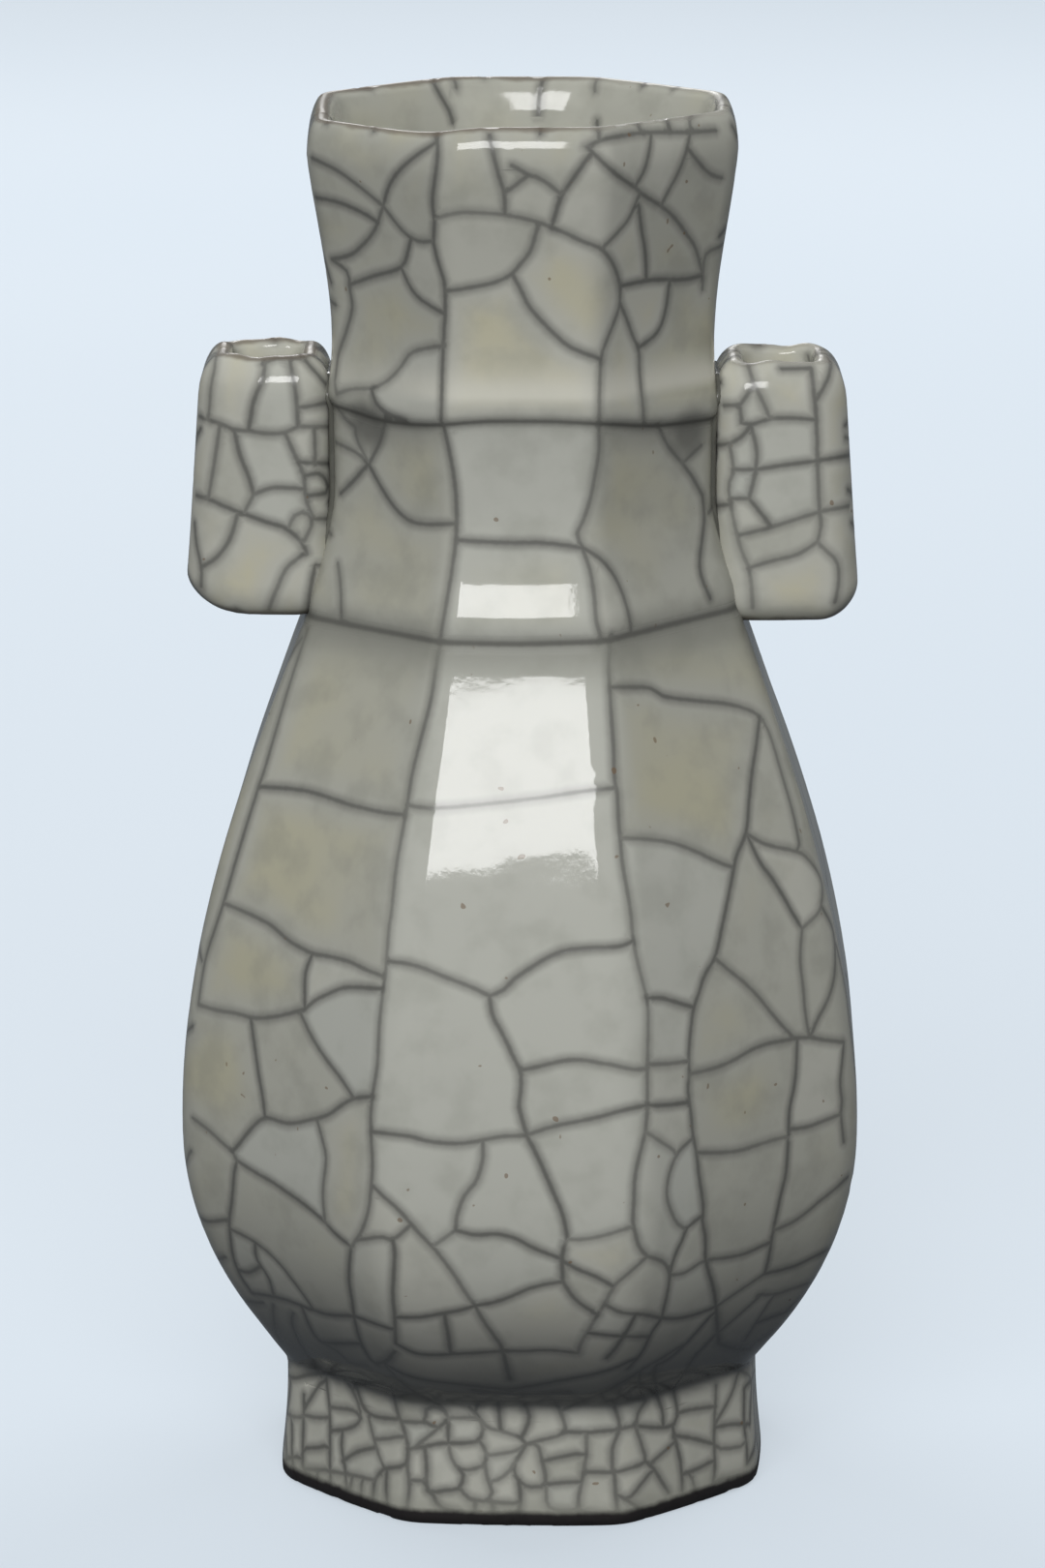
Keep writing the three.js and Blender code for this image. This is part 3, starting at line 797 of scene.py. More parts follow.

# %% [markdown]
# ## The net of cracks on the front
# The crackle is the pattern that makes this glaze what it is, so on the side that the photograph
# shows it follows the real net: each line is a short list of pixels of the photograph, traced,
# smoothed into a curve and laid on the surface by a ray from the camera.

# %% Cracks traced on the neck
UPPER_NECK_CRACKS = [
    [(452, 137), (452, 165), (447, 205), (449, 230), (448, 250), (453, 272), (459, 292), (460, 322),
     (459, 342), (457, 385), (456, 435)],
    [(322, 163), (348, 176), (373, 194), (396, 213)],
    [(451, 147), (430, 161), (411, 178), (401, 195), (396, 213)],
    [(396, 213), (412, 234), (425, 246), (437, 250), (448, 249)],
    [(326, 204), (349, 209), (373, 219), (391, 230)],
    [(396, 213), (387, 238), (373, 255), (361, 264), (343, 268)],
    [(425, 246), (421, 262), (417, 274), (406, 280), (387, 285), (362, 294)],
    [(415, 277), (423, 295), (433, 308), (448, 318), (460, 325)],
    [(343, 268), (359, 281), (361, 297), (364, 318), (357, 345), (350, 365), (346, 395)],
    [(449, 226), (473, 220), (495, 220), (520, 222), (550, 228), (580, 239), (601, 249), (621, 257),
     (632, 270), (639, 287), (641, 301), (640, 317), (635, 332), (625, 357), (621, 371), (620, 397),
     (619, 435)],
    [(506, 140), (510, 160), (515, 180), (521, 200), (522, 222)],
    [(521, 200), (535, 190), (547, 181), (562, 187), (579, 200)],
    [(529, 171), (547, 181)],
    [(612, 157), (599, 175), (586, 194), (579, 205), (574, 221), (570, 236)],
    [(557, 231), (548, 260), (540, 270), (529, 283), (514, 291), (498, 295), (475, 299), (460, 301)],
    [(530, 284), (539, 301), (547, 317), (560, 332), (575, 347), (590, 359), (620, 371)],
    [(607, 152), (621, 166), (638, 181), (655, 193), (667, 203), (682, 212), (696, 224), (709, 241),
     (719, 257), (726, 282)],
    [(661, 199), (653, 220), (644, 234), (622, 257)],
    [(673, 138), (671, 156), (665, 178), (656, 193)],
    [(713, 138), (709, 156), (701, 178), (692, 195), (683, 212)],
    [(711, 154), (724, 170), (734, 180), (746, 184)],
    [(660, 212), (663, 237), (667, 262), (668, 290)],
    [(641, 296), (663, 291), (682, 289), (705, 289), (726, 285)],
    [(692, 290), (688, 320), (681, 341), (670, 352), (660, 359)],
    [(641, 314), (649, 333), (655, 350), (660, 360), (661, 385), (664, 415), (665, 435)],
    [(748, 253), (730, 262), (727, 278), (726, 299)],
    [(460, 357), (440, 360), (424, 365), (416, 377), (401, 393), (384, 401), (364, 402), (348, 407)],
]
RIM_CRACKS = [
    [(606, 152), (621, 145), (645, 140), (667, 137), (703, 137), (740, 135)],
    [(617, 125), (619, 146)],
    [(656, 124), (664, 138)],
    [(687, 121), (694, 137)],
    [(712, 124), (714, 138)],
    [(445, 81), (454, 97), (464, 114), (468, 127)],
    [(562, 78), (558, 96), (556, 120)],
]
STRING_CRACKS = [
    [(384, 402), (389, 417), (402, 428), (420, 435)],
    [(345, 417), (357, 433), (367, 441)],
]
LOWER_NECK_CRACKS = [
    [(456, 435), (460, 447), (464, 465), (468, 485), (471, 510), (472, 540), (471, 560), (467, 590),
     (462, 620), (456, 655), (455, 666)],
    [(619, 435), (619, 465), (615, 490), (610, 515), (602, 540), (596, 552), (602, 566)],
    [(381, 480), (392, 500), (403, 518), (415, 532), (428, 540), (445, 542), (471, 541)],
    [(347, 457), (367, 467), (381, 478)],
    [(398, 434), (393, 456), (382, 478)],
    [(367, 441), (369, 455), (381, 478)],
    [(380, 480), (365, 497), (352, 510)],
    [(471, 558), (500, 560), (532, 561), (560, 561), (602, 566)],
    [(602, 566), (617, 575), (630, 588), (640, 605), (648, 628), (652, 648)],
    [(602, 566), (610, 590), (614, 615), (616, 640), (620, 655)],
    [(680, 438), (690, 460), (702, 475), (715, 492), (725, 510)],
    [(706, 478), (725, 460)],
    [(349, 582), (352, 605), (353, 640)],
    [(726, 512), (728, 535), (726, 555), (723, 585), (728, 605), (734, 618)],
]
NECK_CRACKS = UPPER_NECK_CRACKS + RIM_CRACKS + STRING_CRACKS + LOWER_NECK_CRACKS
print("neck lines:", len(NECK_CRACKS))

# %% Cracks traced on the belly
UPPER_BELLY_CRACKS = [
    [(455, 666), (452, 680), (446, 720), (436, 760), (426, 800), (420, 838), (414, 870), (409, 900),
     (405, 940), (402, 960), (399, 1000), (396, 1022), (392, 1060), (390, 1100), (385, 1132), (383, 1160),
     (385, 1200), (384, 1221), (381, 1250), (375, 1269), (369, 1280), (363, 1288)],
    [(632, 655), (629, 685), (630, 710), (632, 742), (634, 772), (635, 805), (638, 820), (639, 845),
     (641, 867), (643, 890), (648, 920), (652, 944), (654, 967), (658, 990), (664, 1014), (669, 1035),
     (670, 1060), (669, 1100), (669, 1142), (667, 1168), (660, 1197), (656, 1219), (655, 1244), (654, 1262),
     (657, 1276), (661, 1289), (669, 1298)],
    [(270, 813), (300, 815), (320, 818), (340, 824), (360, 831), (380, 836), (400, 840), (419, 842)],
    [(420, 832), (450, 835), (500, 831), (560, 824), (600, 818), (637, 814)],
    [(630, 710), (652, 710), (672, 711), (685, 719), (702, 722), (730, 725), (750, 727), (770, 732),
     (781, 737), (788, 743)],
    [(318, 650), (308, 680), (298, 711), (286, 752), (274, 793), (267, 814), (255, 852), (243, 892),
     (231, 933), (222, 960), (212, 993), (205, 1036)],
    [(787, 742), (796, 760), (808, 800), (820, 842), (826, 872)],
    [(785, 742), (782, 767), (777, 800), (774, 830), (771, 860), (761, 885), (756, 910), (751, 935),
     (744, 968), (739, 989), (728, 1008), (722, 1027), (717, 1041), (714, 1063), (712, 1087), (712, 1110),
     (711, 1127), (714, 1149), (716, 1172), (720, 1193), (722, 1212), (725, 1232), (727, 1248), (726, 1262),
     (729, 1278), (729, 1300), (733, 1316), (738, 1334), (740, 1350)],
    [(641, 866), (665, 867), (690, 870), (710, 876), (730, 885), (745, 892), (757, 896)],
    [(772, 862), (785, 890), (797, 906), (810, 927), (820, 945), (829, 959)],
    [(772, 862), (790, 872), (810, 877), (827, 881), (837, 890), (847, 905), (850, 922), (846, 942),
     (829, 959)],
    [(829, 959), (827, 991), (830, 1020), (832, 1044), (835, 1063), (837, 1072)],
    [(851, 940), (860, 958), (863, 982), (862, 1010), (855, 1034), (845, 1053), (837, 1072)],
    [(231, 933), (259, 945), (280, 956), (300, 973), (323, 985), (339, 988), (362, 994), (378, 1002),
     (397, 1009)],
    [(323, 985), (316, 1004), (315, 1022), (315, 1043)],
    [(315, 1043), (325, 1034), (339, 1027), (353, 1021), (368, 1020), (396, 1022)],
    [(205, 1038), (225, 1044), (244, 1047), (264, 1052), (287, 1050), (303, 1046), (315, 1043)],
    [(400, 993), (423, 996), (442, 1002), (461, 1010), (480, 1017), (494, 1023), (506, 1029)],
    [(506, 1029), (520, 1023), (532, 1011), (547, 1001), (563, 991), (582, 983), (604, 980), (628, 979),
     (644, 977), (655, 972)],
    [(668, 1032), (683, 1031), (697, 1035), (717, 1041)],
    [(740, 991), (754, 1003), (769, 1015), (783, 1029), (795, 1044), (807, 1058), (821, 1073)],
]
MIDDLE_BELLY_CRACKS = [
    [(259, 1052), (263, 1079), (267, 1108), (271, 1131), (274, 1154)],
    [(310, 1045), (319, 1065), (328, 1081), (339, 1097), (353, 1115), (362, 1129), (366, 1135)],
    [(386, 1133), (366, 1135), (353, 1142), (339, 1152), (321, 1157), (298, 1161), (274, 1155), (259, 1167),
     (248, 1181), (240, 1190)],
    [(199, 1155), (216, 1168), (230, 1181), (240, 1190), (245, 1199)],
    [(328, 1158), (334, 1181), (337, 1197), (334, 1225), (334, 1244), (336, 1262)],
    [(506, 1029), (509, 1049), (518, 1066), (525, 1080), (532, 1095), (538, 1107), (538, 1130), (536, 1142),
     (539, 1154), (544, 1172), (549, 1182), (557, 1198), (567, 1221), (575, 1239), (582, 1257), (586, 1279),
     (582, 1291), (581, 1307), (582, 1325)],
    [(538, 1106), (561, 1101), (582, 1096), (601, 1095), (618, 1098), (637, 1101), (654, 1105),
     (669, 1104)],
    [(384, 1169), (406, 1172), (425, 1174), (437, 1178), (459, 1181), (480, 1181), (499, 1178), (520, 1174),
     (543, 1173), (561, 1167), (580, 1162), (601, 1158), (623, 1153), (644, 1147), (669, 1142)],
    [(499, 1178), (499, 1197), (495, 1213), (490, 1224), (482, 1232), (476, 1244), (472, 1257),
     (471, 1271)],
    [(669, 1100), (692, 1099), (712, 1096)],
    [(669, 1142), (688, 1142), (711, 1139)],
    [(667, 1169), (685, 1181), (697, 1189), (699, 1194)],
    [(716, 1176), (704, 1187), (697, 1198), (691, 1216), (689, 1234), (693, 1250), (700, 1264),
     (709, 1270)],
    [(712, 1110), (721, 1108), (740, 1103), (759, 1095), (778, 1084), (795, 1078), (811, 1075), (821, 1073),
     (837, 1072), (854, 1075), (872, 1077)],
    [(824, 1073), (823, 1101), (821, 1122), (816, 1146), (815, 1172), (814, 1191), (812, 1214), (807, 1234),
     (803, 1253), (799, 1271), (797, 1284), (794, 1302), (790, 1316)],
    [(720, 1191), (742, 1191), (764, 1189), (783, 1183), (802, 1177), (815, 1174)],
    [(816, 1167), (835, 1164), (854, 1157), (869, 1151)],
    [(872, 1077), (870, 1100), (868, 1120), (870, 1137), (869, 1151), (872, 1180)],
]
LOWER_BELLY_CRACKS = [
    [(245, 1199), (242, 1212), (241, 1226), (239, 1246), (237, 1260), (238, 1276), (241, 1298), (249, 1319),
     (260, 1335)],
    [(237, 1260), (215, 1262), (204, 1256)],
    [(245, 1199), (265, 1212), (281, 1221), (294, 1230), (310, 1241), (324, 1252), (336, 1263), (347, 1275),
     (363, 1288)],
    [(363, 1288), (361, 1307), (361, 1326), (364, 1344), (366, 1360)],
    [(238, 1270), (258, 1280), (276, 1293), (290, 1307), (301, 1321), (313, 1337), (324, 1353)],
    [(264, 1284), (265, 1300), (278, 1321), (283, 1340)],
    [(260, 1336), (279, 1339), (299, 1344), (324, 1354), (344, 1359), (366, 1360), (383, 1366),
     (404, 1373)],
    [(471, 1271), (491, 1276), (514, 1275), (534, 1280), (550, 1289), (568, 1296), (581, 1301)],
    [(471, 1271), (461, 1278), (447, 1288)],
    [(386, 1226), (395, 1235), (409, 1247), (421, 1260), (432, 1273), (446, 1287), (459, 1303), (472, 1321),
     (482, 1337), (491, 1349)],
    [(369, 1281), (378, 1280), (395, 1278), (405, 1281), (414, 1275), (425, 1265)],
    [(406, 1281), (408, 1294), (407, 1316), (406, 1339), (408, 1360), (409, 1388)],
    [(491, 1349), (509, 1346), (527, 1340), (545, 1332), (564, 1327), (582, 1324)],
    [(586, 1280), (598, 1281), (618, 1278), (636, 1273), (654, 1267)],
    [(582, 1303), (598, 1312), (616, 1319), (634, 1329)],
    [(669, 1298), (657, 1309), (643, 1321), (634, 1330), (625, 1347), (618, 1358), (609, 1373), (602, 1384),
     (597, 1398)],
    [(582, 1325), (593, 1341), (604, 1350), (618, 1358)],
    [(625, 1347), (641, 1356), (665, 1358), (684, 1362), (702, 1362), (722, 1357), (740, 1350)],
    [(657, 1358), (648, 1375), (636, 1393), (627, 1403)],
    [(607, 1377), (623, 1379), (644, 1381)],
    [(491, 1349), (498, 1362), (509, 1378), (518, 1391), (522, 1405), (527, 1425)],
    [(408, 1361), (434, 1361), (457, 1357), (475, 1354), (491, 1349)],
    [(459, 1357), (463, 1378), (466, 1399)],
    [(409, 1388), (429, 1398), (450, 1400), (468, 1399), (491, 1398), (519, 1396), (541, 1396), (568, 1395),
     (597, 1398)],
    [(726, 1256), (718, 1262), (709, 1270), (706, 1280), (700, 1291), (695, 1305), (692, 1317)],
    [(669, 1298), (686, 1304), (692, 1317), (690, 1334), (684, 1361)],
    [(692, 1317), (706, 1316), (720, 1307), (729, 1302), (747, 1300), (768, 1296), (784, 1289),
     (797, 1283)],
    [(800, 1271), (817, 1264), (833, 1253), (847, 1241), (861, 1230), (876, 1216)],
    [(740, 1350), (756, 1339), (774, 1327), (790, 1316)],
    [(790, 1316), (808, 1312), (824, 1307), (838, 1300), (856, 1291)],
    [(684, 1362), (674, 1376), (663, 1398), (649, 1414)],
    [(247, 1312), (257, 1315), (268, 1309)],
    [(313, 1352), (320, 1370), (331, 1386), (350, 1388), (367, 1388)],
    [(366, 1362), (372, 1384), (381, 1402), (389, 1409), (400, 1406), (408, 1396)],
    [(331, 1386), (350, 1397), (362, 1408), (380, 1411)],
    [(783, 1338), (802, 1337), (820, 1331), (846, 1322)],
    [(788, 1337), (769, 1354), (753, 1368), (742, 1377)],
    [(740, 1350), (741, 1368), (743, 1388)],
    [(734, 1360), (711, 1386), (694, 1402), (678, 1411)],
    [(644, 1381), (669, 1381)],
    [(743, 1388), (758, 1393), (776, 1394)],
    [(795, 1345), (784, 1362), (770, 1384)],
]
FOOT_CRACKS = [
    [(314, 1441), (314, 1464), (313, 1489), (313, 1515)],
    [(337, 1426), (340, 1448), (341, 1470), (341, 1496), (341, 1520)],
    [(314, 1462), (329, 1465), (340, 1464)],
    [(340, 1454), (351, 1455), (365, 1457), (373, 1465), (369, 1472), (356, 1477), (343, 1478)],
    [(354, 1510), (369, 1500), (386, 1496)],
    [(381, 1465), (385, 1481), (391, 1502), (397, 1517)],
    [(367, 1429), (375, 1453), (384, 1462), (396, 1465), (410, 1466)],
    [(405, 1432), (410, 1457), (416, 1473), (421, 1492), (420, 1512), (408, 1516), (397, 1517)],
    [(421, 1492), (423, 1496), (421, 1515), (423, 1534), (421, 1556)],
    [(416, 1469), (423, 1469), (439, 1469), (440, 1457), (450, 1453), (459, 1457), (463, 1465)],
    [(439, 1469), (453, 1475), (463, 1465)],
    [(428, 1496), (440, 1486), (448, 1480), (453, 1475)],
    [(421, 1497), (437, 1495), (450, 1492), (463, 1491), (479, 1491), (495, 1488), (499, 1477)],
    [(463, 1465), (463, 1478), (463, 1491)],
    [(463, 1465), (479, 1465), (495, 1465), (499, 1477)],
    [(464, 1492), (466, 1505), (475, 1518), (488, 1518), (501, 1513), (502, 1499), (495, 1488)],
    [(439, 1496), (441, 1515), (442, 1540), (459, 1540), (475, 1537), (479, 1521), (475, 1518)],
    [(423, 1529), (440, 1530)],
    [(485, 1454), (495, 1465), (504, 1475), (520, 1479), (539, 1486), (544, 1492)],
    [(544, 1492), (533, 1499), (517, 1502), (502, 1504)],
    [(515, 1448), (517, 1477)],
    [(495, 1448), (490, 1461), (495, 1465)],
    [(542, 1451), (547, 1461), (546, 1470), (539, 1485)],
    [(574, 1448), (581, 1464), (584, 1480), (571, 1485), (555, 1489), (544, 1492)],
    [(582, 1479), (600, 1480), (619, 1479), (639, 1477)],
    [(635, 1454), (640, 1470), (638, 1483), (633, 1496), (633, 1520)],
    [(606, 1480), (606, 1502), (603, 1521), (601, 1534), (598, 1547), (598, 1569)],
    [(544, 1492), (555, 1492), (560, 1508), (563, 1521), (563, 1534), (546, 1536), (534, 1528), (531, 1515),
     (536, 1505), (544, 1492)],
    [(563, 1534), (581, 1532), (601, 1531)],
    [(603, 1521), (619, 1521), (636, 1521), (654, 1516), (667, 1510), (665, 1499), (660, 1483),
     (656, 1472)],
    [(639, 1477), (656, 1472), (659, 1461), (667, 1448)],
    [(656, 1473), (676, 1475), (695, 1473), (700, 1461), (697, 1441)],
    [(699, 1461), (711, 1457), (740, 1453)],
    [(695, 1473), (699, 1492), (703, 1508), (705, 1528), (705, 1540)],
    [(696, 1483), (715, 1486), (738, 1492)],
    [(740, 1432), (739, 1454), (738, 1477), (738, 1492), (739, 1518), (737, 1532)],
    [(739, 1475), (753, 1472), (775, 1471)],
    [(769, 1435), (769, 1471), (772, 1496), (772, 1512)],
    [(667, 1510), (676, 1518), (684, 1531), (691, 1542)],
    [(671, 1513), (686, 1500), (698, 1489)],
    [(635, 1521), (636, 1540), (638, 1559)],
    [(442, 1540), (448, 1545), (453, 1556), (472, 1563)],
    [(475, 1537), (485, 1548), (504, 1551), (509, 1543), (504, 1528), (501, 1513)],
    [(506, 1531), (517, 1528), (528, 1518), (531, 1512)],
    [(536, 1529), (538, 1547), (536, 1566)],
    [(504, 1551), (523, 1553), (538, 1553)],
    [(565, 1535), (565, 1553), (569, 1559), (584, 1561), (598, 1559)],
    [(491, 1550), (491, 1563)],
    [(509, 1552), (510, 1566)],
    [(397, 1517), (388, 1528), (386, 1540), (385, 1550)],
    [(341, 1520), (364, 1524), (386, 1529)],
    [(364, 1524), (362, 1537)],
    [(314, 1518), (329, 1519), (341, 1520), (341, 1535)],
    [(354, 1479), (353, 1496), (357, 1519), (358, 1538)],
    [(328, 1520), (328, 1532)],
    [(400, 1517), (399, 1535), (400, 1554)],
    [(372, 1466), (372, 1456), (366, 1440), (360, 1430)],
    [(489, 1436), (507, 1438), (539, 1440), (589, 1438)],
]
BELLY_CRACKS = UPPER_BELLY_CRACKS + MIDDLE_BELLY_CRACKS + LOWER_BELLY_CRACKS
print("belly lines:", len(BELLY_CRACKS), "and foot lines:", len(FOOT_CRACKS))

# %% Cracks traced on the handles
LEFT_HANDLE_CRACKS = [
    [(225, 358), (222, 380), (218, 400), (216, 425), (214, 433)],
    [(206, 430), (213, 433), (222, 436), (230, 438), (241, 444), (255, 445), (277, 448), (295, 447),
     (307, 441), (326, 441), (343, 441)],
    [(273, 366), (273, 385), (268, 400), (262, 415), (257, 444)],
    [(299, 364), (300, 375), (303, 392), (306, 410), (308, 441)],
    [(311, 366), (318, 376), (326, 384), (334, 394), (344, 405)],
    [(271, 376), (280, 372), (288, 370), (299, 370), (310, 371)],
    [(308, 421), (320, 420), (332, 417), (343, 416)],
    [(227, 440), (223, 468), (219, 492), (215, 516)],
    [(242, 444), (248, 470), (258, 495), (262, 511)],
    [(295, 448), (306, 473), (314, 492), (316, 515), (323, 533)],
    [(262, 511), (282, 504), (315, 505)],
    [(262, 511), (252, 531)],
    [(203, 512), (216, 516), (236, 525), (252, 531), (277, 540), (296, 546), (312, 561), (317, 573)],
    [(246, 529), (238, 556), (224, 576), (208, 586)],
    [(201, 540), (203, 562), (208, 586), (208, 606)],
    [(313, 573), (296, 587), (288, 604), (282, 618), (276, 636)],
    [(298, 546), (304, 533), (316, 529), (323, 539), (315, 558)],
    [(323, 536), (343, 536)],
    [(326, 584), (323, 598), (320, 615), (318, 638)],
    [(326, 585), (343, 582)],
    [(325, 442), (326, 480)],
    [(308, 478), (343, 479)],
    [(314, 492), (330, 489), (338, 499), (337, 509), (318, 512)],
]
RIGHT_HANDLE_CRACKS = [
    [(835, 368), (838, 380), (842, 412), (844, 440), (845, 480), (847, 527), (849, 541), (845, 560)],
    [(843, 414), (856, 390), (859, 364)],
    [(776, 439), (796, 433), (821, 432), (844, 434)],
    [(808, 381), (822, 381), (837, 380)],
    [(773, 376), (779, 396), (788, 414), (796, 433)],
    [(757, 485), (782, 485), (814, 480), (845, 476), (881, 470)],
    [(764, 553), (792, 546), (815, 539), (847, 529), (877, 523)],
    [(774, 515), (787, 531), (797, 544)],
    [(776, 439), (782, 465), (781, 485), (777, 504), (774, 515)],
    [(755, 515), (774, 515)],
    [(754, 460), (758, 485), (753, 501), (755, 520), (760, 546), (766, 568), (775, 592), (778, 628)],
    [(741, 460), (755, 458), (769, 449), (776, 439)],
    [(748, 419), (764, 420), (766, 437)],
    [(764, 420), (777, 401)],
    [(773, 587), (800, 579), (824, 573), (845, 560)],
    [(845, 560), (856, 571), (865, 580), (867, 600), (863, 622)],
    [(739, 523), (755, 521)],
]
HANDLE_CRACKS = {"left": LEFT_HANDLE_CRACKS, "right": RIGHT_HANDLE_CRACKS}
print("handle lines:", {side: len(lines) for side, lines in HANDLE_CRACKS.items()})

# %% Lay the traced lines on the surfaces
LINE_STEP = 0.8
JOIN_REACH = 1.3
LOWER_CREASE = -0.3
UPPER_CREASE = 0.12
CREASE_SHARES = (0.003, 0.997)
PIXEL_STEP = 5.0
JUMP = 3.0


def smoothed(points):
    """A curve through every traced point."""
    points = np.array(points, float)
    padded = np.vstack([2 * points[0] - points[1], points, 2 * points[-1] - points[-2]])
    curve = []
    for a, b, c, d in zip(padded, padded[1:], padded[2:], padded[3:]):
        share = np.linspace(0, 1, max(2, int(np.linalg.norm(c - b) / PIXEL_STEP) + 1))[:-1, None]
        curve.append(0.5 * (2 * b + (c - a) * share + (2 * a - 5 * b + 4 * c - d) * share**2
                            + (3 * b - a - 3 * c + d) * share**3))
    return np.vstack(curve + [points[-1:]])


def traced(sheet, drawings):
    """Lines of addresses under traced pixels, broken where the view jumps to another wall."""
    lines = []
    for drawing in drawings:
        found = [sheet.seen(x, y) for x, y in smoothed(drawing)]
        line = np.array([address for address in found if address is not None]).reshape(-1, 2)
        steps = np.linalg.norm(np.diff(sheet.at(line), axis=0), axis=1)
        parts = np.split(line, np.nonzero(steps > JUMP)[0] + 1)
        lines += [evenly(part, LINE_STEP, sheet.at(part)) for part in parts if len(part) > 1]
    return lines


def join_ends(sheet, lines):
    """Ends that stop just short of another line are carried on to its nearest point."""
    every = np.vstack(lines)
    owner = np.repeat(np.arange(len(lines)), [len(line) for line in lines])
    places = sheet.at(every)
    joined = []
    for index, line in enumerate(lines):
        for end in (0, -1):
            gap = np.linalg.norm(places - sheet.at(line[[end]]), axis=1)
            gap[owner == index] = np.inf
            nearest = np.argmin(gap)
            if 1e-6 < gap[nearest] < JOIN_REACH:
                extra = every[nearest][None]
                line = np.vstack([extra, line]) if end == 0 else np.vstack([line, extra])
        joined.append(line)
    return joined


body_lines = traced(body, NECK_CRACKS + BELLY_CRACKS + FOOT_CRACKS)
for run, shift in zip(STRING_RUNS, (LOWER_CREASE, UPPER_CREASE)):
    crease = np.linspace(*CREASE_SHARES, int(body.round_at(run) / LINE_STEP))
    body_lines.append(np.stack([crease, 0 * crease + run + shift], 1))
body_lines = join_ends(body, body_lines)
tube_lines = {side: join_ends(sheet, traced(sheet, HANDLE_CRACKS[side])) for side, sheet in tubes.items()}
print("laid:", len(body_lines), "on the body,", {side: len(lines) for side, lines in tube_lines.items()})

# %% [markdown]
# ## The net of cracks everywhere else
# Crazing relieves tension: the next crack opens in the widest whole patch of glaze and runs until it
# meets an older crack, nearly square to it. The same rule fills the sides that the photograph doesn't
# show. It starts each line in the emptiest place and stops when every patch is as small as the glaze
# there makes them: wide on the upper belly, fine on the handles and finest on the foot.

# %% Growing cracks
SAMPLE_DENSITY = 0.35
MEET_GAP = 0.62
LONGEST = 260
BEND = 0.012
WANDER = 0.05
TURN_SPREAD = 0.5
SEED_SHARES = (0.004, 0.996)
NEAR_REACH = 3
FAR_AWAY = 40.0


def grow(sheet, lines, low, high, spacing, may_start, seed, must_stop=None):
    """Adds cracks between two runs until no place is further than its spacing from a crack."""
    chance = np.random.default_rng(seed)
    area = float(np.trapz(sheet.round_at(sheet.runs), sheet.runs)) * (high - low) / sheet.runs[-1]
    seeds = np.stack([chance.uniform(*SEED_SHARES, int(area / SAMPLE_DENSITY)),
                      chance.uniform(low, high, int(area / SAMPLE_DENSITY))], 1)
    seeds = seeds[may_start(seeds)]
    limit = spacing(seeds)
    ground = sheet.at(seeds)
    near = [line[(line[:, 1] > low - NEAR_REACH) & (line[:, 1] < high + NEAR_REACH)] for line in lines]
    known = np.vstack(near + [np.zeros((0, 2))])
    spots = sheet.at(known)
    gaps = np.full(len(seeds), FAR_AWAY)
    for spot in spots:
        np.minimum(gaps, np.linalg.norm(ground - spot, axis=1), out=gaps)
    added = []

    def walk(start, angle):
        path, here, bend = [start], start.copy(), chance.normal(0, BEND)
        for _ in range(LONGEST):
            angle += bend + chance.normal(0, WANDER)
            round_step = math.cos(angle) * LINE_STEP / sheet.round_at(here[1])
            here = here + (round_step, math.sin(angle) * LINE_STEP)
            edge = np.array([min(max(here[0], 0.0), 1.0), min(max(here[1], low), high)])
            if not np.array_equal(edge, here):
                return path + [edge]
            if len(spots):
                away = np.linalg.norm(spots - sheet.at(here[None]), axis=1)
                if away.min() < MEET_GAP:
                    met = known[np.argmin(away)].copy()
                    met[0] = min(max(met[0] + round(here[0] - met[0]), 0.0), 1.0)
                    return path + [met]
            path.append(here)
            if must_stop is not None and must_stop(here[None])[0]:
                return path
        return path

    while len(seeds):
        best = int(np.argmax(gaps / limit))
        if gaps[best] < limit[best]:
            break
        start = seeds[best]
        if len(spots):
            nearest = known[np.argmin(np.linalg.norm(spots - ground[best], axis=1))]
            way = (nearest - start) * (sheet.round_at(start[1]), 1)
            angle = math.atan2(way[1], way[0]) + chance.normal(0, TURN_SPREAD)
        else:
            angle = chance.uniform(0, math.pi)
        line = np.array(walk(start, angle)[::-1] + walk(start, angle + math.pi)[1:])
        added.append(line)
        known = np.vstack([known, line])
        fresh = sheet.at(line)
        spots = np.vstack([spots, fresh])
        for spot in fresh:
            np.minimum(gaps, np.linalg.norm(ground - spot, axis=1), out=gaps)
    return added


print("a crack runs up to", LONGEST * LINE_STEP, "mm each way")

# %% Cracks grown on the body
HIDDEN = 0.2
IN_VIEW = 0.36
SHADED_LEVEL = 18.0
SPACING_LEVELS = [0, 11, 14, 20, 30, 42, 62, 94, 99, 117, 121, 148]
SPACING_SIZES = [1.75, 1.75, 2.6, 3.2, 4.2, 6.2, 8.6, 8.2, 6.0, 6.0, 4.8, 4.0]
INSIDE_SPACING = 7.0
INSIDE_END = 80
MOUTH_VIEW = 134.0
MOUTH_HIDDEN = 0.02
RECESS_SPACING = 3.2
RECESS_START = 6.0
VIEW_MARGIN = 3
SEAM_STEP = 1.0
CORNER_WANDER = 0.12
CORNER_SEED = 5
OUTSIDE_SEED = 11
INSIDE_SEED = 12
RECESS_SEED = 13
BACK_CORNER = math.radians(67.5)
sole_run = outside_run(0.9)
lip_run = RUN[crest] + 2.0


def body_height(addresses):
    return np.interp(addresses[:, 1], RUN, HEIGHT)


def body_spacing(addresses):
    return np.interp(body_height(addresses), SPACING_LEVELS, SPACING_SIZES)


def shows(addresses, squareness, lowest):
    """Which addresses are above a height and face the camera more squarely than a limit."""
    return (body.towards_camera(addresses) > squareness) & (body_height(addresses) > lowest)


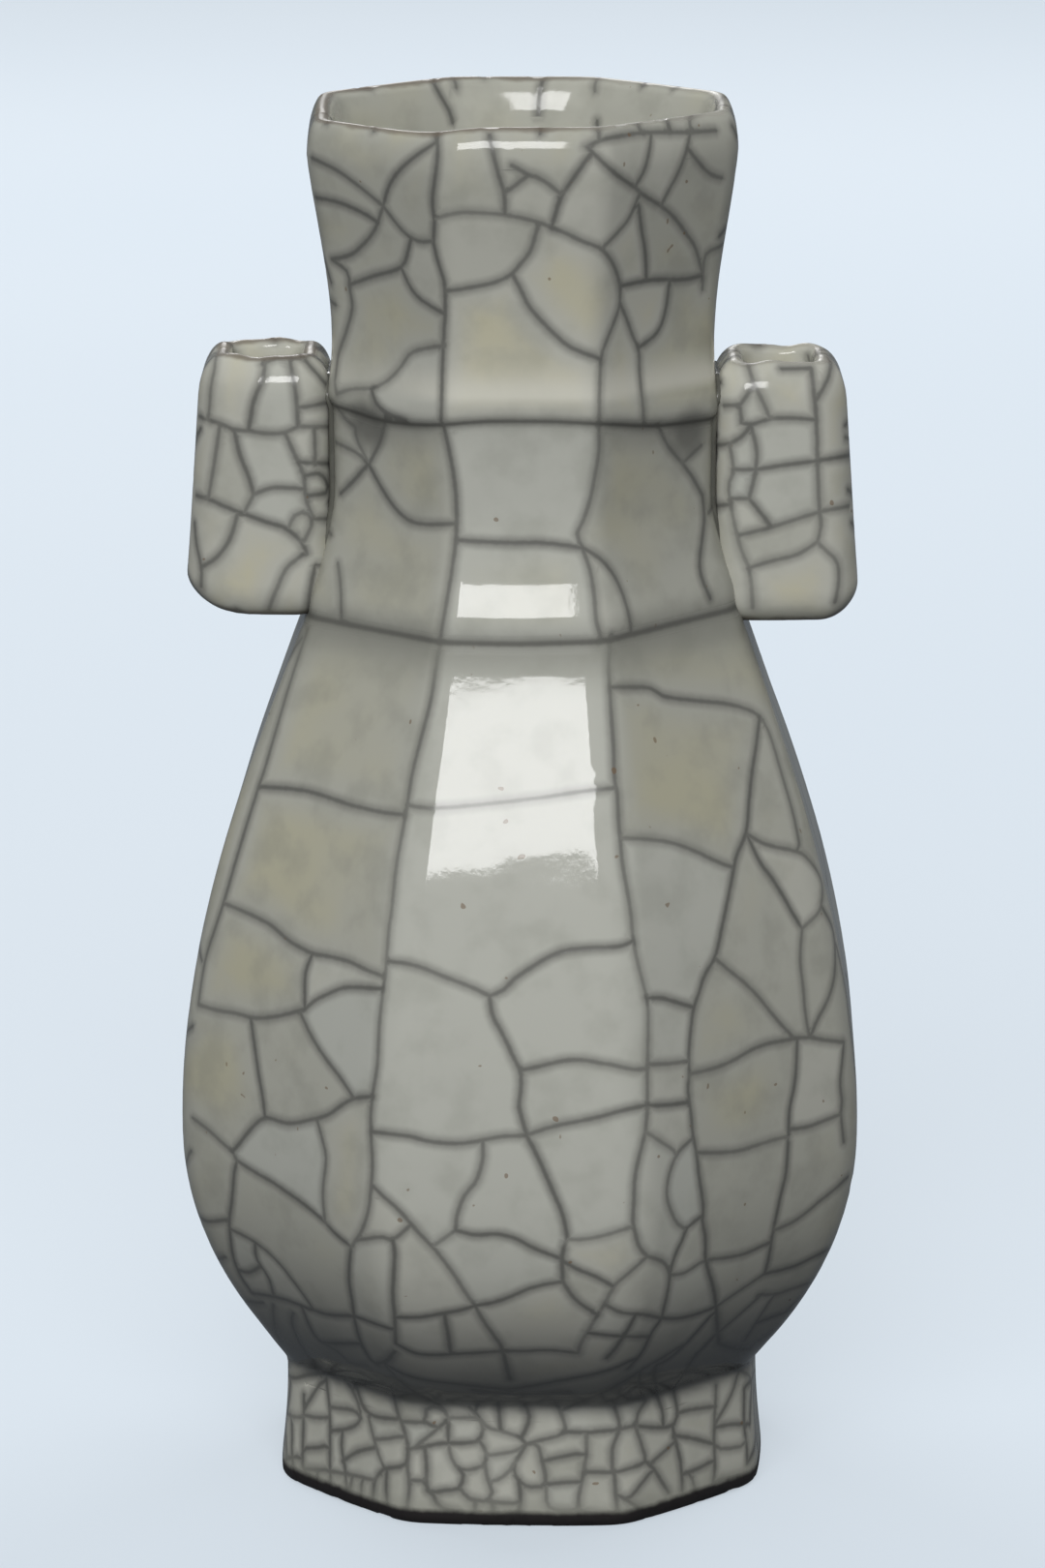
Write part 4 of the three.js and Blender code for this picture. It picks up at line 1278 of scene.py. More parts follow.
seam_runs = np.linspace(sole_run, lip_run, int((lip_run - sole_run) / SEAM_STEP))
seam = np.stack([0 * seam_runs, seam_runs], 1)
plan_angles = np.arctan2(closed_plan[:, 1], closed_plan[:, 0])
back_share = PLAN_SHARE[np.argmin(np.abs(plan_angles - BACK_CORNER))]
corner_runs = np.linspace(sole_run, lip_run, int((lip_run - sole_run) / LINE_STEP))
wander = np.cumsum(np.random.default_rng(CORNER_SEED).normal(0, CORNER_WANDER, len(corner_runs)))
wander -= np.linspace(wander[0], wander[-1], len(corner_runs))
corner_back = np.stack([back_share + wander / body.round_at(corner_runs), corner_runs], 1)
known_lines = body_lines + [seam, seam + (1, 0), corner_back]
grown = grow(
    body, known_lines, sole_run, lip_run, body_spacing, lambda a: ~shows(a, HIDDEN, SHADED_LEVEL),
    OUTSIDE_SEED, lambda a: shows(a, IN_VIEW, SHADED_LEVEL + VIEW_MARGIN))
grown += grow(
    body, body_lines, lip_run, inside_run(INSIDE_END), lambda a: np.full(len(a), INSIDE_SPACING),
    lambda a: ~shows(a, MOUTH_HIDDEN, MOUTH_VIEW), INSIDE_SEED,
    lambda a: shows(a, MOUTH_HIDDEN, MOUTH_VIEW))
grown += grow(
    body, [], RECESS_START, RUN[sole_end] - FOOT_WALL, lambda a: np.full(len(a), RECESS_SPACING),
    lambda a: body_height(a) < RECESS + 1, RECESS_SEED)
body_lines = body_lines + [corner_back] + grown
print("body cracks:", len(body_lines), "of which grown:", len(grown))

# %% Cracks grown on the handles
HANDLE_SPACING = 2.5
BORE_SPACING = 4.0
BORE_MARGIN = 0.6
HANDLE_SEEDS = {"right": 21, "left": 22}


def tube_spacing(addresses):
    inset = np.interp(addresses[:, 1], TUBE_RUN, TUBE_INSET)
    return np.where(inset > crest_inset, BORE_SPACING, HANDLE_SPACING)


for side, sheet in tubes.items():
    tube_lines[side] += grow(
        sheet, tube_lines[side], BORE_MARGIN, TUBE_RUN[-1] - BORE_MARGIN, tube_spacing,
        lambda a: sheet.towards_camera(a) < HIDDEN, HANDLE_SEEDS[side],
        lambda a: sheet.towards_camera(a) > IN_VIEW)
print("handle cracks:", {side: len(lines) for side, lines in tube_lines.items()})

# %% [markdown]
# ## Cutting the sheets
# Each sheet is cut flat into triangles with every crack as a row of edges, so that a crack stays a
# fine, clean line however large the triangles are beside it. Where a long edge would join two cracks
# and hide the clear glaze between them, its middle becomes a point as well. The patches between the
# cracks are found by flooding from triangle to triangle without crossing a crack: each patch of glaze
# has a tone of its own, as on the real vase. The sheet is then shared out among the pieces.

# %% Cutting a sheet into triangles
CRACK_FLANK = 0.7
CLEARANCE = 0.48
STAIN_REACH = 1.5
RIDGE_HEIGHT = 0.12
RIDGE_ROUNDS = 3
LONGEST_STEP = 2.2
COLUMN_GAP = 0.4
FOLD_REACH = 1.2
LIP_REACH = 2.4
SHARPEST_STEP = math.radians(8)
EDGE_SHARE = 0.0006
END_MARGIN = 0.05
FLANK_MARGIN = 0.2
JOINT_INSET = 0.4


def marks(position, angle, longest, fixed):
    """Marks along a curve so close that no step is too long or turns too far."""
    steps = np.maximum(np.diff(position) / longest, np.abs(np.diff(angle)) / SHARPEST_STEP)
    effort = np.concatenate([[0], np.cumsum(steps)])
    found = []
    for start, end in zip(fixed, fixed[1:]):
        ends = np.interp([start, end], position, effort)
        count = max(1, int(math.ceil(ends[1] - ends[0])))
        inner = np.interp(np.linspace(*ends, count + 1)[1:-1], effort, position)
        found.append(np.concatenate([[start], inner]))
    return np.concatenate(found + [[fixed[-1]]])


def flanks(sheet, line):
    """Addresses beside a crack, on both sides of it and past its ends."""
    scale = np.stack([sheet.round_at(line[:, 1]), np.ones(len(line))], 1)
    way = np.gradient(line * scale, axis=0)
    way /= np.maximum(np.linalg.norm(way, axis=1), 1e-9)[:, None]
    across = np.stack([-way[:, 1], way[:, 0]], 1) * CRACK_FLANK / scale
    ahead = way * CRACK_FLANK / scale
    return np.vstack([line + across, line - across, line[:1] - ahead[:1], line[-1:] + ahead[-1:]])


def clear_of(finder, places, gap):
    return np.array([finder.find(place)[2] > gap for place in places], bool)


def triangulated(points, edges):
    return geometry.delaunay_2d_cdt([Vector(point) for point in points], edges, [], 0, 1e-5, True)


def ridge_middles(found, gap_at):
    """Middles of the free edges that lie further from the cracks than their two ends would say."""
    points = np.array([tuple(point) for point in found[0]])
    free = np.array([not origin for origin in found[4]])
    ends = np.array(found[1])[free]
    gaps = gap_at(points)
    ends = ends[gaps[ends].min(1) < STAIN_REACH]
    middles = points[ends].mean(1)
    return middles[gap_at(middles) - gaps[ends].mean(1) > RIDGE_HEIGHT]


def patches(triangles, walls):
    """Numbers the patches of triangles that no crack edge divides."""
    count = len(triangles)
    base = int(triangles.max()) + 1
    sides = np.sort(np.vstack([triangles[:, [0, 1]], triangles[:, [1, 2]], triangles[:, [2, 0]]]), axis=1)
    codes = sides[:, 0].astype(np.int64) * base + sides[:, 1]
    owners = np.tile(np.arange(count), 3)
    order = np.argsort(codes, kind="stable")
    codes, owners = codes[order], owners[order]
    twin = np.nonzero((codes[1:] == codes[:-1]) & ~np.isin(codes[1:], walls))[0]
    first, second = owners[twin], owners[twin + 1]
    label = np.arange(count)
    while True:
        least = np.minimum(label[first], label[second])
        fresh = label.copy()
        np.minimum.at(fresh, first, least)
        np.minimum.at(fresh, second, least)
        fresh = fresh[fresh]
        if np.array_equal(fresh, label):
            return np.unique(label, return_inverse=True)[1]
        label = fresh


def cut(sheet, columns, rows, levels, lines, poles, folds=()):
    """Triangles of a sheet, with the cracks as edges. Returns shares, runs, triangles and patches."""
    last = rows[-1]
    inner = [np.column_stack([
        np.clip(line[:, 0], EDGE_SHARE, 1 - EDGE_SHARE),
        # The plan is an octagon with narrow front, back and side faces and rounded corners. A Geometry
        # Nodes tree carries flat points round it: each point holds its share of the way round, its half
        # width and its height, and the tree samples the plan curve there. Hand work is in the tree as well:
        # the belly sits a little turned under the neck, the lower string climbs to the right and lifts at
        # the far left, and the upper one rises in front and sags at both sides. Each point also keeps how
        # near the strings' creases and the lip are: the glaze thins on the lip, and painted shade darkens
        # in and under the creases.
        np.clip(line[:, 1], rows[0] + END_MARGIN, last - END_MARGIN)]) for line in lines]
    centres = sheet.at(np.vstack(inner))
    finder = kdtree.KDTree(len(centres))
    for index, place in enumerate(centres):
        finder.insert(place, index)
    finder.balance()
    grid = np.stack(np.meshgrid(columns, rows), 2)
    fixed = np.isin(rows, levels)
    keep = np.zeros(grid.shape[:2], bool)
    keep[fixed] = True
    for low, high in folds:
        keep[(rows > low) & (rows < high)] = True
    keep[:, [0, -1]] = True
    loose = np.argwhere(~keep)
    keep[tuple(loose.T)] = clear_of(finder, sheet.at(grid[tuple(loose.T)]), CLEARANCE)
    number = np.cumsum(keep.ravel()).reshape(keep.shape) - 1
    points = [grid[keep]]
    edges = [np.stack([number[r, :-1], number[r, 1:]], 1) for r in np.nonzero(fixed)[0]]
    edges += [np.stack([number[:-1, c], number[1:, c]], 1) for c in (0, -1)]
    frame_edges = sum(map(len, edges))
    start = int(keep.sum())
    for line in inner:
        index = start + np.arange(len(line))
        edges.append(np.stack([index[:-1], index[1:]], 1))
        points.append(line)
        start += len(line)
    beside = np.vstack([flanks(sheet, line) for line in inner])
    within = (beside[:, 0] > 3 * EDGE_SHARE) & (beside[:, 0] < 1 - 3 * EDGE_SHARE)
    within &= (beside[:, 1] > rows[0] + FLANK_MARGIN) & (beside[:, 1] < last - FLANK_MARGIN)
    beside = beside[within]
    points.append(beside[clear_of(finder, sheet.at(beside), CLEARANCE)])
    flat = np.vstack(points) * (sheet.width, 1)
    edges = np.vstack(edges).tolist()

    def gap_at(spots):
        gaps = [finder.find(place)[2] for place in sheet.at(spots / (sheet.width, 1))]
        return np.minimum(gaps, STAIN_REACH)

    for _ in range(RIDGE_ROUNDS):
        middles = ridge_middles(triangulated(flat, edges), gap_at)
        for low, high in folds:
            middles = middles[(middles[:, 1] < low) | (middles[:, 1] > high)]
        flat = np.vstack([flat, middles])
    found = triangulated(flat, edges)
    places = np.array([tuple(point) for point in found[0]]) / (sheet.width, 1)
    triangles = np.array(found[2])
    a, b, c = (places[triangles[:, k]] for k in range(3))
    turning = (b[:, 0] - a[:, 0]) * (c[:, 1] - a[:, 1]) - (b[:, 1] - a[:, 1]) * (c[:, 0] - a[:, 0])
    triangles[turning < 0] = triangles[turning < 0][:, ::-1]
    share_key = np.where(places[:, 0] > 1 - EDGE_SHARE / 50, 0, places[:, 0])
    at_end = [places[:, 1] < rows[0] + 1e-3, places[:, 1] > last - 1e-3]
    if poles:
        share_key = np.where(at_end[0] | at_end[1], 0, share_key)
        run_key = places[:, 1]
    else:
        run_key = np.where(at_end[1], rows[0], places[:, 1])
    keys = np.round(np.stack([share_key, run_key], 1), 6)
    unique, first, where = np.unique(keys, axis=0, return_index=True, return_inverse=True)
    where = where.ravel()
    barrier = [edge for edge, origin in zip(found[1], found[4]) if any(o >= frame_edges for o in origin)]
    barrier = np.sort(where[np.array(barrier)], axis=1).astype(np.int64)
    triangles = where[triangles]
    whole = (triangles[:, 0] != triangles[:, 1]) & (triangles[:, 1] != triangles[:, 2])
    triangles = triangles[whole & (triangles[:, 2] != triangles[:, 0])]
    walls = barrier[:, 0] * (int(triangles.max()) + 1) + barrier[:, 1]
    return unique[:, 0], unique[:, 1], triangles, patches(triangles, walls)


recess_edge = float(RUN[np.argmin(np.abs(HALF[:sole_end] - foot_bore + JOINT_INSET))])
floor_gap = np.abs(HALF[crest:] - belly_inside[-1][0] + JOINT_INSET)
floor_gap[HEIGHT[crest:] > FLOOR + 2] = np.inf
floor_edge = float(RUN[crest + np.argmin(floor_gap)])
LEVELS = {
    "axis below": 0.0, "recess": recess_edge, "foot top": outside_run(FOOT_TOP),
    "slab top": outside_run(SLAB_TOP), "widest": outside_run(WIDEST), "shoulder": outside_run(SHOULDER),
    "neck base": outside_run(NECK_BASE), "neck top": outside_run(NECK_TOP), "collar": outside_run(COLLAR),
    "rim": outside_run(RIM_SEAT), "rim inside": inside_run(RIM_SEAT),
    "neck inside": inside_run((NECK_TOP + COLLAR) / 2),
    "shoulder inside": inside_run((SHOULDER + NECK_BASE) / 2), "widest inside": inside_run(WIDEST),
    "floor": floor_edge, "axis above": float(RUN[-1])}
column_sets = []
for shares, plan in ((PLAN_SHARE, closed_plan), (FOOT_PLAN_SHARE, foot_plan)):
    plan_way = np.unwrap(np.arctan2(*np.gradient(plan, axis=0).T[::-1]))
    column_sets.append(marks(shares * body.width, plan_way, LONGEST_STEP, [0, body.width]))
apart = np.abs(column_sets[1][:, None] - column_sets[0]).min(1) > COLUMN_GAP
columns = np.sort(np.concatenate([column_sets[0], column_sets[1][apart]])) / body.width
rows = marks(RUN, np.unwrap(np.arctan2(CLIMB, GROWTH)), LONGEST_STEP, list(LEVELS.values()))
body_folds = [(run - FOLD_REACH, run + FOLD_REACH) for run in STRING_RUNS]
body_folds.append((RUN[crest] - LIP_REACH, RUN[crest] + LIP_REACH))
body_shares, body_runs, body_triangles, body_patches = cut(
    body, columns, rows, list(LEVELS.values()), body_lines, True, body_folds)
print("body:", len(body_runs), "points,", len(body_triangles), "triangles,",
      body_patches.max() + 1, "patches")

# %% [markdown]
# ## Staining the cracks
# Potters rub ink or tea into the open cracks, so each line is darkest along its middle and fades at
# its edges. A second tree measures, at every point, how far the nearest crack is and how strongly it
# took the stain. The glaze reads both, so one finish serves every piece.

# %% The tree that measures the cracks
FURTHEST = 9.0
WEAKEST_CRACK = 0.7
STAIN_SWELL = 0.12
STAIN_WAVE = 9
STAIN_LIMITS = (0.3, 1.0)
BODY_STAIN_SEED = 31
TUBE_STAIN_SEED = 32
stain_tree, given = geometry_tree("crackle stain", {"Crack lines": "Object", "Furthest": "Float"})
cracks = given["Geometry"].node(
    "GeometryNodeObjectInfo", None, {"Object": given["Crack lines"]}, "Geometry")
gap = cracks.node("GeometryNodeProximity", {"target_element": "EDGES"}, {0: cracks}, "Distance") / MM
nearest = cracks.node("GeometryNodeSampleNearest", {"domain": "POINT"}, {"Geometry": cracks})
strength = cracks.node(
    "GeometryNodeInputNamedAttribute", {"data_type": "FLOAT"}, {"Name": "strength"}, "Attribute")
strength = cracks.node(
    "GeometryNodeSampleIndex", {"data_type": "FLOAT", "domain": "POINT"},
    {"Geometry": cracks, "Value": strength, "Index": nearest})
stained = given["Geometry"]
for label, value in (("crack_gap", gap.smallest(given["Furthest"])), ("crack_strength", strength)):
    stained = stained.node(
        "GeometryNodeStoreNamedAttribute", {"data_type": "FLOAT", "domain": "POINT"},
        {"Geometry": stained, "Name": label, "Value": value})
close_tree(stained, given["Material"])


def wire(lines):
    """All the points of some lines, and the edges along them."""
    ends = np.cumsum([0] + [len(line) for line in lines])
    edges = [(i, i + 1) for start, end in zip(ends, ends[1:]) for i in range(start, end - 1)]
    return np.vstack(lines), edges


def strengths(lines, seed):
    """How strongly each crack took the stain, with a slow change along it."""
    chance = np.random.default_rng(seed)
    found = []
    for line in lines:
        mean = chance.uniform(WEAKEST_CRACK, 1.0)
        wave = np.sin(np.arange(len(line)) / STAIN_WAVE + chance.uniform(0, 6))
        found.append(np.clip(mean + STAIN_SWELL * wave, *STAIN_LIMITS))
    return np.concatenate(found)


wired, wire_edges = wire(body_lines + [seam])
body_wires = wrap_up("body cracks", *wired.T, wire_edges)
store(body_wires.data, "strength", strengths(body_lines + [seam], BODY_STAIN_SEED))
make_plain(body_wires)
tube_wires = {}
for side in tubes:
    wired, wire_edges = wire(tube_lines[side])
    points, _ = tube_points(*wired.T, side)
    tube_wires[side] = add_mesh(side + " handle cracks", points * MM, wire_edges)
    store(tube_wires[side].data, "strength", strengths(tube_lines[side], TUBE_STAIN_SEED))
print("crack wires:", len(body_wires.data.vertices), "points on the body")

# %% [markdown]
# ## The glaze
# The glaze is thick, glossy and faintly cloudy: a warm grey, greener and greyer along the cracks, with
# straw-coloured patches where it is thickest. It thins to a dark line on the lips. Light and shade are
# painted into the colour too: a painted light band just above the upper string, painted shade in and
# under both strings, in the corners by the handles, along the handles' bases and low on the belly, and
# painted light and shade in some patch tones. The foot is wiped bare at the bottom and shows the
# iron-rich clay, almost black. The finish lays those over each other in layers, each with an amount from
# the measured cracks, the heights and a few cloudy patterns. Gaps are in millimetres here, and places,
# heights and grains in metres.

# %% Colours and the glaze


def rgb(red, green, blue):
    """A screen colour (0 to 255) as the linear light that nodes work in."""
    shares = [value / 255 for value in (red, green, blue)]
    return (*[s / 12.92 if s <= 0.04045 else ((s + 0.055) / 1.055) ** 2.4 for s in shares], 1.0)


GLAZE_GREY = rgb(177, 177, 168)
GLAZE_STRAW = rgb(183, 179, 155)
# Cool tone of some patches, partly a painted sheen on the front faces
COOL_TONE_AND_FRONT_SHEEN = rgb(170, 174, 169)
# Dusky glaze tone, also used for painted shade
GLAZE_DUSK_AND_SHADE = rgb(140, 141, 131)
CRACK_HALO = rgb(112, 112, 107)
CRACK_INK = rgb(92, 92, 88)
SPECK_BROWN = rgb(108, 84, 58)
# Thin glaze on the lips, also the painted shade along the handles' bases
THIN_GLAZE_AND_BASE_SHADE = rgb(98, 88, 76)
# The slip bead's dark colour, partly painted shade of the joint's corner
SLIP_SHADE = rgb(80, 80, 74)
SLIP_PALE = rgb(100, 100, 92)
BARE_CLAY = rgb(30, 27, 27)
# Painted shade low on the belly
PAINTED_UNDER_SHADE = rgb(62, 64, 66)
# Painted light on the upper string's bulge
PAINTED_COLLAR_LIGHT = rgb(201, 200, 189)
# Painted shade in and under the strings and in the corners beside the handles
STRING_SHADE = rgb(84, 84, 80)
GLAZE_IOR = 1.5
CLOUD_GRAIN = 0.022
MOTTLE_GRAIN = 0.0045
FINE_GRAIN = 0.0008
SPECK_GRAIN = 0.0011
RIPPLE_GRAIN = 0.011
SLIP_GRAIN = 0.003
RIPPLE_HEIGHT = 0.0003
STRAW_GAP = (0.6, 4.5)
STRAW_CLOUD = (0.36, 0.66)
CRACK_CORE = 0.04
CRACK_EDGE = 0.36
HALO_EDGE = 1.15
LIP_AND_BASE_DARK = (0.4, 1.1)
LIP_FADE = 0.012
TUBE_MIDDLE = 0.111
LIP_BAND = 0.003
# Heights of the painted shade low on the belly, just above the foot
UNDER_RISE = (0.0112, 0.0143)
UNDER_FADE = (0.012, 0.032)
NECK_MIDDLE = 0.107
NECK_BAND = 0.002
NECK_REACH = 0.0205
NECK_FRONT = (0.007, 0.013)
NECK_LEFT = (-0.014, -0.009)
# Heights of the painted light band just above the upper string
PALE_LOW = 0.1188
PALE_MIDDLE = 0.1204
PALE_HIGH = 0.1242
# Painted shade: dark spots in the corners beside the handles, under the upper string
PAINTED_SHADE_SPOTS = [(-0.0163, -0.0115, 0.1158), (0.0178, -0.0105, 0.1146)]
SHADE_SPOT_FADE = (0.0012, 0.0038)
# Heights of the painted shade just under the lower string
SHOULDER_SHADE_LOW = 0.0885
SHOULDER_SHADE_HIGH = 0.0945
SHOULDER_SHADE_END = 0.096
BARE_EDGE = (0.0013, 0.0021)
WIPED_EDGE = (0.0016, 0.0036)


def new_finish(name):
    """A material, the start of its tree, and the place on the object that it is asked for."""
    finish = bpy.data.materials.new(name)
    finish.use_nodes = True
    finish.node_tree.nodes.clear()
    start = Signal(finish.node_tree)
    return finish, start, start.node("ShaderNodeTexCoord", None, None, "Object")


def close_finish(start, sockets):
    surface = start.node("ShaderNodeBsdfPrincipled", None, {"IOR": GLAZE_IOR, **sockets})
    start.node("ShaderNodeOutputMaterial", None, {"Surface": surface})


def attribute(start, name):
    return start.node("ShaderNodeAttribute", {"attribute_name": name}, None, "Fac")


def glaze(name, foot=False):
    finish, start, place = new_finish(name)
    tone = attribute(start, "cell_tone")
    straw_cell = attribute(start, "cell_straw")
    strength = attribute(start, "crack_strength")
    cloud = place.noise(CLOUD_GRAIN, 2.0)
    mottle = place.noise(MOTTLE_GRAIN, 3.0)
    grain = place.noise(FINE_GRAIN, 2.0)
    gap = attribute(start, "crack_gap") + (grain - 0.5) * 0.16
    straw = gap.ease(*STRAW_GAP) * (cloud + straw_cell * 0.3 - 0.12).ease(*STRAW_CLOUD)
    to_right, _, height = place.parts()
    on_neck = to_right.size().fade(NECK_REACH, NECK_REACH + NECK_BAND)
    on_neck = on_neck * to_right.ease(*NECK_LEFT, 0.4, 1.0)
    # Painted light: a paler band just above the upper string, on the neck
    pale = height.ease(PALE_LOW, PALE_MIDDLE, 0.0, 0.75) * height.fade(PALE_MIDDLE, PALE_HIGH)
    core = gap.fade(CRACK_CORE, CRACK_EDGE, 0.8) * strength
    speck = place.noise(SPECK_GRAIN, 0.0).ease(0.85, 0.88)
    # Painted shade just under the lower string
    shoulder_shade = height.ease(SHOULDER_SHADE_LOW, SHOULDER_SHADE_HIGH, 0.0, 0.5) * height.fade(SHOULDER_SHADE_HIGH, SHOULDER_SHADE_END)
    # Painted shade low on the belly, darkest just above the foot and fading upwards
    under = height.fade(*UNDER_FADE, 0.97) * height.ease(*UNDER_RISE)
    # Dark thin glaze along the lip crests; on the handles the same mask reaches the bases, where it is
    # painted shade
    lip = (attribute(start, "crest_gap") + (mottle - 0.5) * 1.2).fade(*LIP_AND_BASE_DARK)
    thick = height.ease(TUBE_MIDDLE - LIP_BAND, TUBE_MIDDLE + LIP_BAND) * to_right.ease(0.0, LIP_FADE)
    # Painted shade in and round the string creases: a dark line in each crease and a wider, softer shade,
    # stronger at the sides
    crease = attribute(start, "crease_shade")
    lower = height.fade(NECK_MIDDLE - NECK_BAND, NECK_MIDDLE + NECK_BAND)
    aside = to_right.size().ease(*NECK_FRONT)
    dusk = aside * 0.31 + lower * (1 - aside) * 0.2 + 0.14
    layers = [
        # Patch tones, at random and for the named patches; the named ones are partly painted light and
        # shade
        (tone.ease(0.1, 1.0) * 0.55, COOL_TONE_AND_FRONT_SHEEN),
        (mottle.ease(0.42, 0.72) * 0.28 + tone.ease(-0.1, -1.0) * 0.32, GLAZE_DUSK_AND_SHADE),
        (pale * on_neck, PAINTED_COLLAR_LIGHT),
        (gap.fade(CRACK_CORE, HALO_EDGE, 0.85) * strength, CRACK_HALO),
        (core, CRACK_INK),
        (speck * 0.6, SPECK_BROWN),
        (shoulder_shade, GLAZE_DUSK_AND_SHADE),
        (under, PAINTED_UNDER_SHADE),
        (lip * (0.75 - thick * 0.45), THIN_GLAZE_AND_BASE_SHADE),
        (attribute(start, "crease_dusk") * dusk, STRING_SHADE),
        (crease.ease(0.68, 1.0) * lower * 0.7, STRING_SHADE)]
    # Painted shade in the corners beside the handles
    for shade_spot in PAINTED_SHADE_SPOTS:
        near = place.vector("DISTANCE", shade_spot, "Value")
        layers.append((near.fade(*SHADE_SPOT_FADE, 0.7), STRING_SHADE))
    roughness = mottle * 0.04 + core * 0.25 + lip * 0.25 + crease * 0.5 + 0.035
    if foot:
        edge = height + (mottle - 0.5) * 0.0008 + (grain - 0.5) * 0.0002
        bare = edge.fade(*BARE_EDGE)
        layers += [(edge.fade(*WIPED_EDGE, 0.5), GLAZE_DUSK_AND_SHADE), (bare, BARE_CLAY)]
        roughness = roughness + bare * 0.5
    colour = straw.blend(GLAZE_GREY, GLAZE_STRAW)
    for amount, tint in layers:
        colour = amount.blend(colour, tint)
    ripple = place.noise(RIPPLE_GRAIN, 1.0) + grain * 0.03 - core * 0.06
    normal = start.node(
        "ShaderNodeBump", None, {"Strength": 0.5, "Distance": RIPPLE_HEIGHT, "Height": ripple})
    close_finish(start, {"Base Color": colour, "Roughness": roughness, "Normal": normal})
    return finish


body_glaze = glaze("celadon crackle glaze")
foot_glaze = glaze("crackle glaze with a bare foot", foot=True)
print("finishes:", [finish.name for finish in (body_glaze, foot_glaze)])

# %% [markdown]
# ## The body pieces
# Each piece takes its ranges of the cut sheet, outside and inside, and a hidden joint face closes it
# between them. Neighbours share the points along their joint, so the glaze runs over it unbroken.
# Patches that the photograph shows as pale, straw-coloured or dusky are named by a pixel in them.

# %% Pieces from ranges of the sheet
RANGES = {
    "foot_ring": [("recess", "foot top")],
    "floor_slab": [("axis below", "recess"), ("foot top", "slab top"), ("floor", "axis above")],
    "lower_belly": [("slab top", "widest"), ("widest inside", "floor")],
    "upper_belly": [("widest", "shoulder"), ("shoulder inside", "widest inside")],
    "lower_string": [("shoulder", "neck base")],
    "lower_neck": [("neck base", "neck top"), ("neck inside", "shoulder inside")],
    "upper_string": [("neck top", "collar")],
    "upper_neck": [("collar", "rim"), ("rim inside", "neck inside")],
    "mouth_rim": [("rim", "rim inside")]}


def ring(run):
    """The points of the body sheet at a joint, in order round the vase."""
    found = np.nonzero(np.abs(body_runs - run) < 2e-3)[0]
    return found[np.argsort(body_shares[found])]


def bridge(lower, upper):
    """Triangles of a hidden face between two rings of points."""
    faces, i, j = [], 0, 0
    after_lower = np.append(body_shares[lower[1:]], 1.0)
    after_upper = np.append(body_shares[upper[1:]], 1.0)
    while i < len(lower) or j < len(upper):
        a, b = lower[i % len(lower)], upper[j % len(upper)]
        if j == len(upper) or (i < len(lower) and after_lower[i] <= after_upper[j]):
            i += 1
            faces.append((a, lower[i % len(lower)], b))
        else:
            j += 1
            faces.append((a, upper[j % len(upper)], b))
    return faces


def set_directions(mesh, shown):
    """Smooth shading from the true shape on the shown faces, flat on the hidden ones."""
    corners = np.zeros(len(mesh.loops), np.int32)
    mesh.loops.foreach_get("vertex_index", corners)
    directions = read(mesh, "facing")[corners]
    flat = np.zeros(len(mesh.polygons) * 3, np.float32)
    mesh.polygons.foreach_get("normal", flat)
    directions[shown * 3:] = np.repeat(flat.reshape(-1, 3)[shown:], 3, axis=0)
    mesh.normals_split_custom_set(directions.tolist())
    for name in ("lean", "facing"):
        if name in mesh.attributes:
            mesh.attributes.remove(mesh.attributes[name])


def hand_over(piece, node):
    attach(piece, "root")
    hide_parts(node)


# Named patch tones. Some are painted light and shade: pale patches on the front faces, dusky and dim straw
# ones mostly on the left, on the handles' outer sides and beside the handles.
BODY_LOOKS = {
    "pale": [(530, 690), (470, 780), (520, 930), (450, 1090), (600, 1040), (600, 1120), (430, 1220),
             (530, 1230), (610, 1220), (540, 1310), (680, 950), (690, 1070), (500, 180), (520, 500)],
    "straw": [(690, 390), (420, 590), (530, 370), (590, 290), (640, 270), (400, 480)],
    "dim straw": [(380, 740), (330, 900), (260, 1000), (700, 690), (700, 800), (300, 1010), (220, 1110),
                  (400, 340)],
    "dusky": [(420, 180), (370, 190), (360, 450), (385, 455), (690, 230), (720, 260), (660, 520),
              (770, 1060), (760, 1150), (790, 1220), (840, 1010), (300, 1260), (420, 260), (700, 180),
              (300, 1110), (805, 1015)]}
HANDLE_LOOKS = {
    "left": {
        "pale": [(285, 480), (290, 420)], "dusky": [(235, 480), (225, 545), (213, 400)],
        "straw": [(245, 400)]},
    "right": {
        "pale": [(810, 510), (800, 460)], "dusky": [(862, 500), (860, 430)], "straw": [(810, 410)]}}
LOOK_TONES = {"pale": (0.5, -0.6), "straw": (-0.1, 0.8), "dim straw": (-1.0, 0.7), "dusky": (-1.0, 0.3)}
LOOK_LABELS = ("cell_tone", "cell_straw")
TONE_RANGE = (-0.7, 0.7)
STRAW_RANGE = (-0.4, 0.6)
BODY_LOOK_SEED = 41
TUBE_LOOK_SEED = 42


def patch_looks(sheet, shares, runs, triangles, numbers, looks, seed):
    """Tone and straw of each triangle's patch: as listed where the photograph shows it, else by chance."""
    chance = np.random.default_rng(seed)
    count = numbers.max() + 1
    tones = np.stack([chance.uniform(*TONE_RANGE, count), chance.uniform(*STRAW_RANGE, count)])
    places = sheet.at(np.stack([shares, runs], 1)[triangles].mean(1))
    for look, pixels in looks.items():
        for x, y in pixels:
            under = sheet.at(sheet.seen(x, y)[None])
            patch = numbers[np.argmin(np.linalg.norm(places - under, axis=1))]
            tones[:, patch] = LOOK_TONES[look]
    return tones[:, numbers]


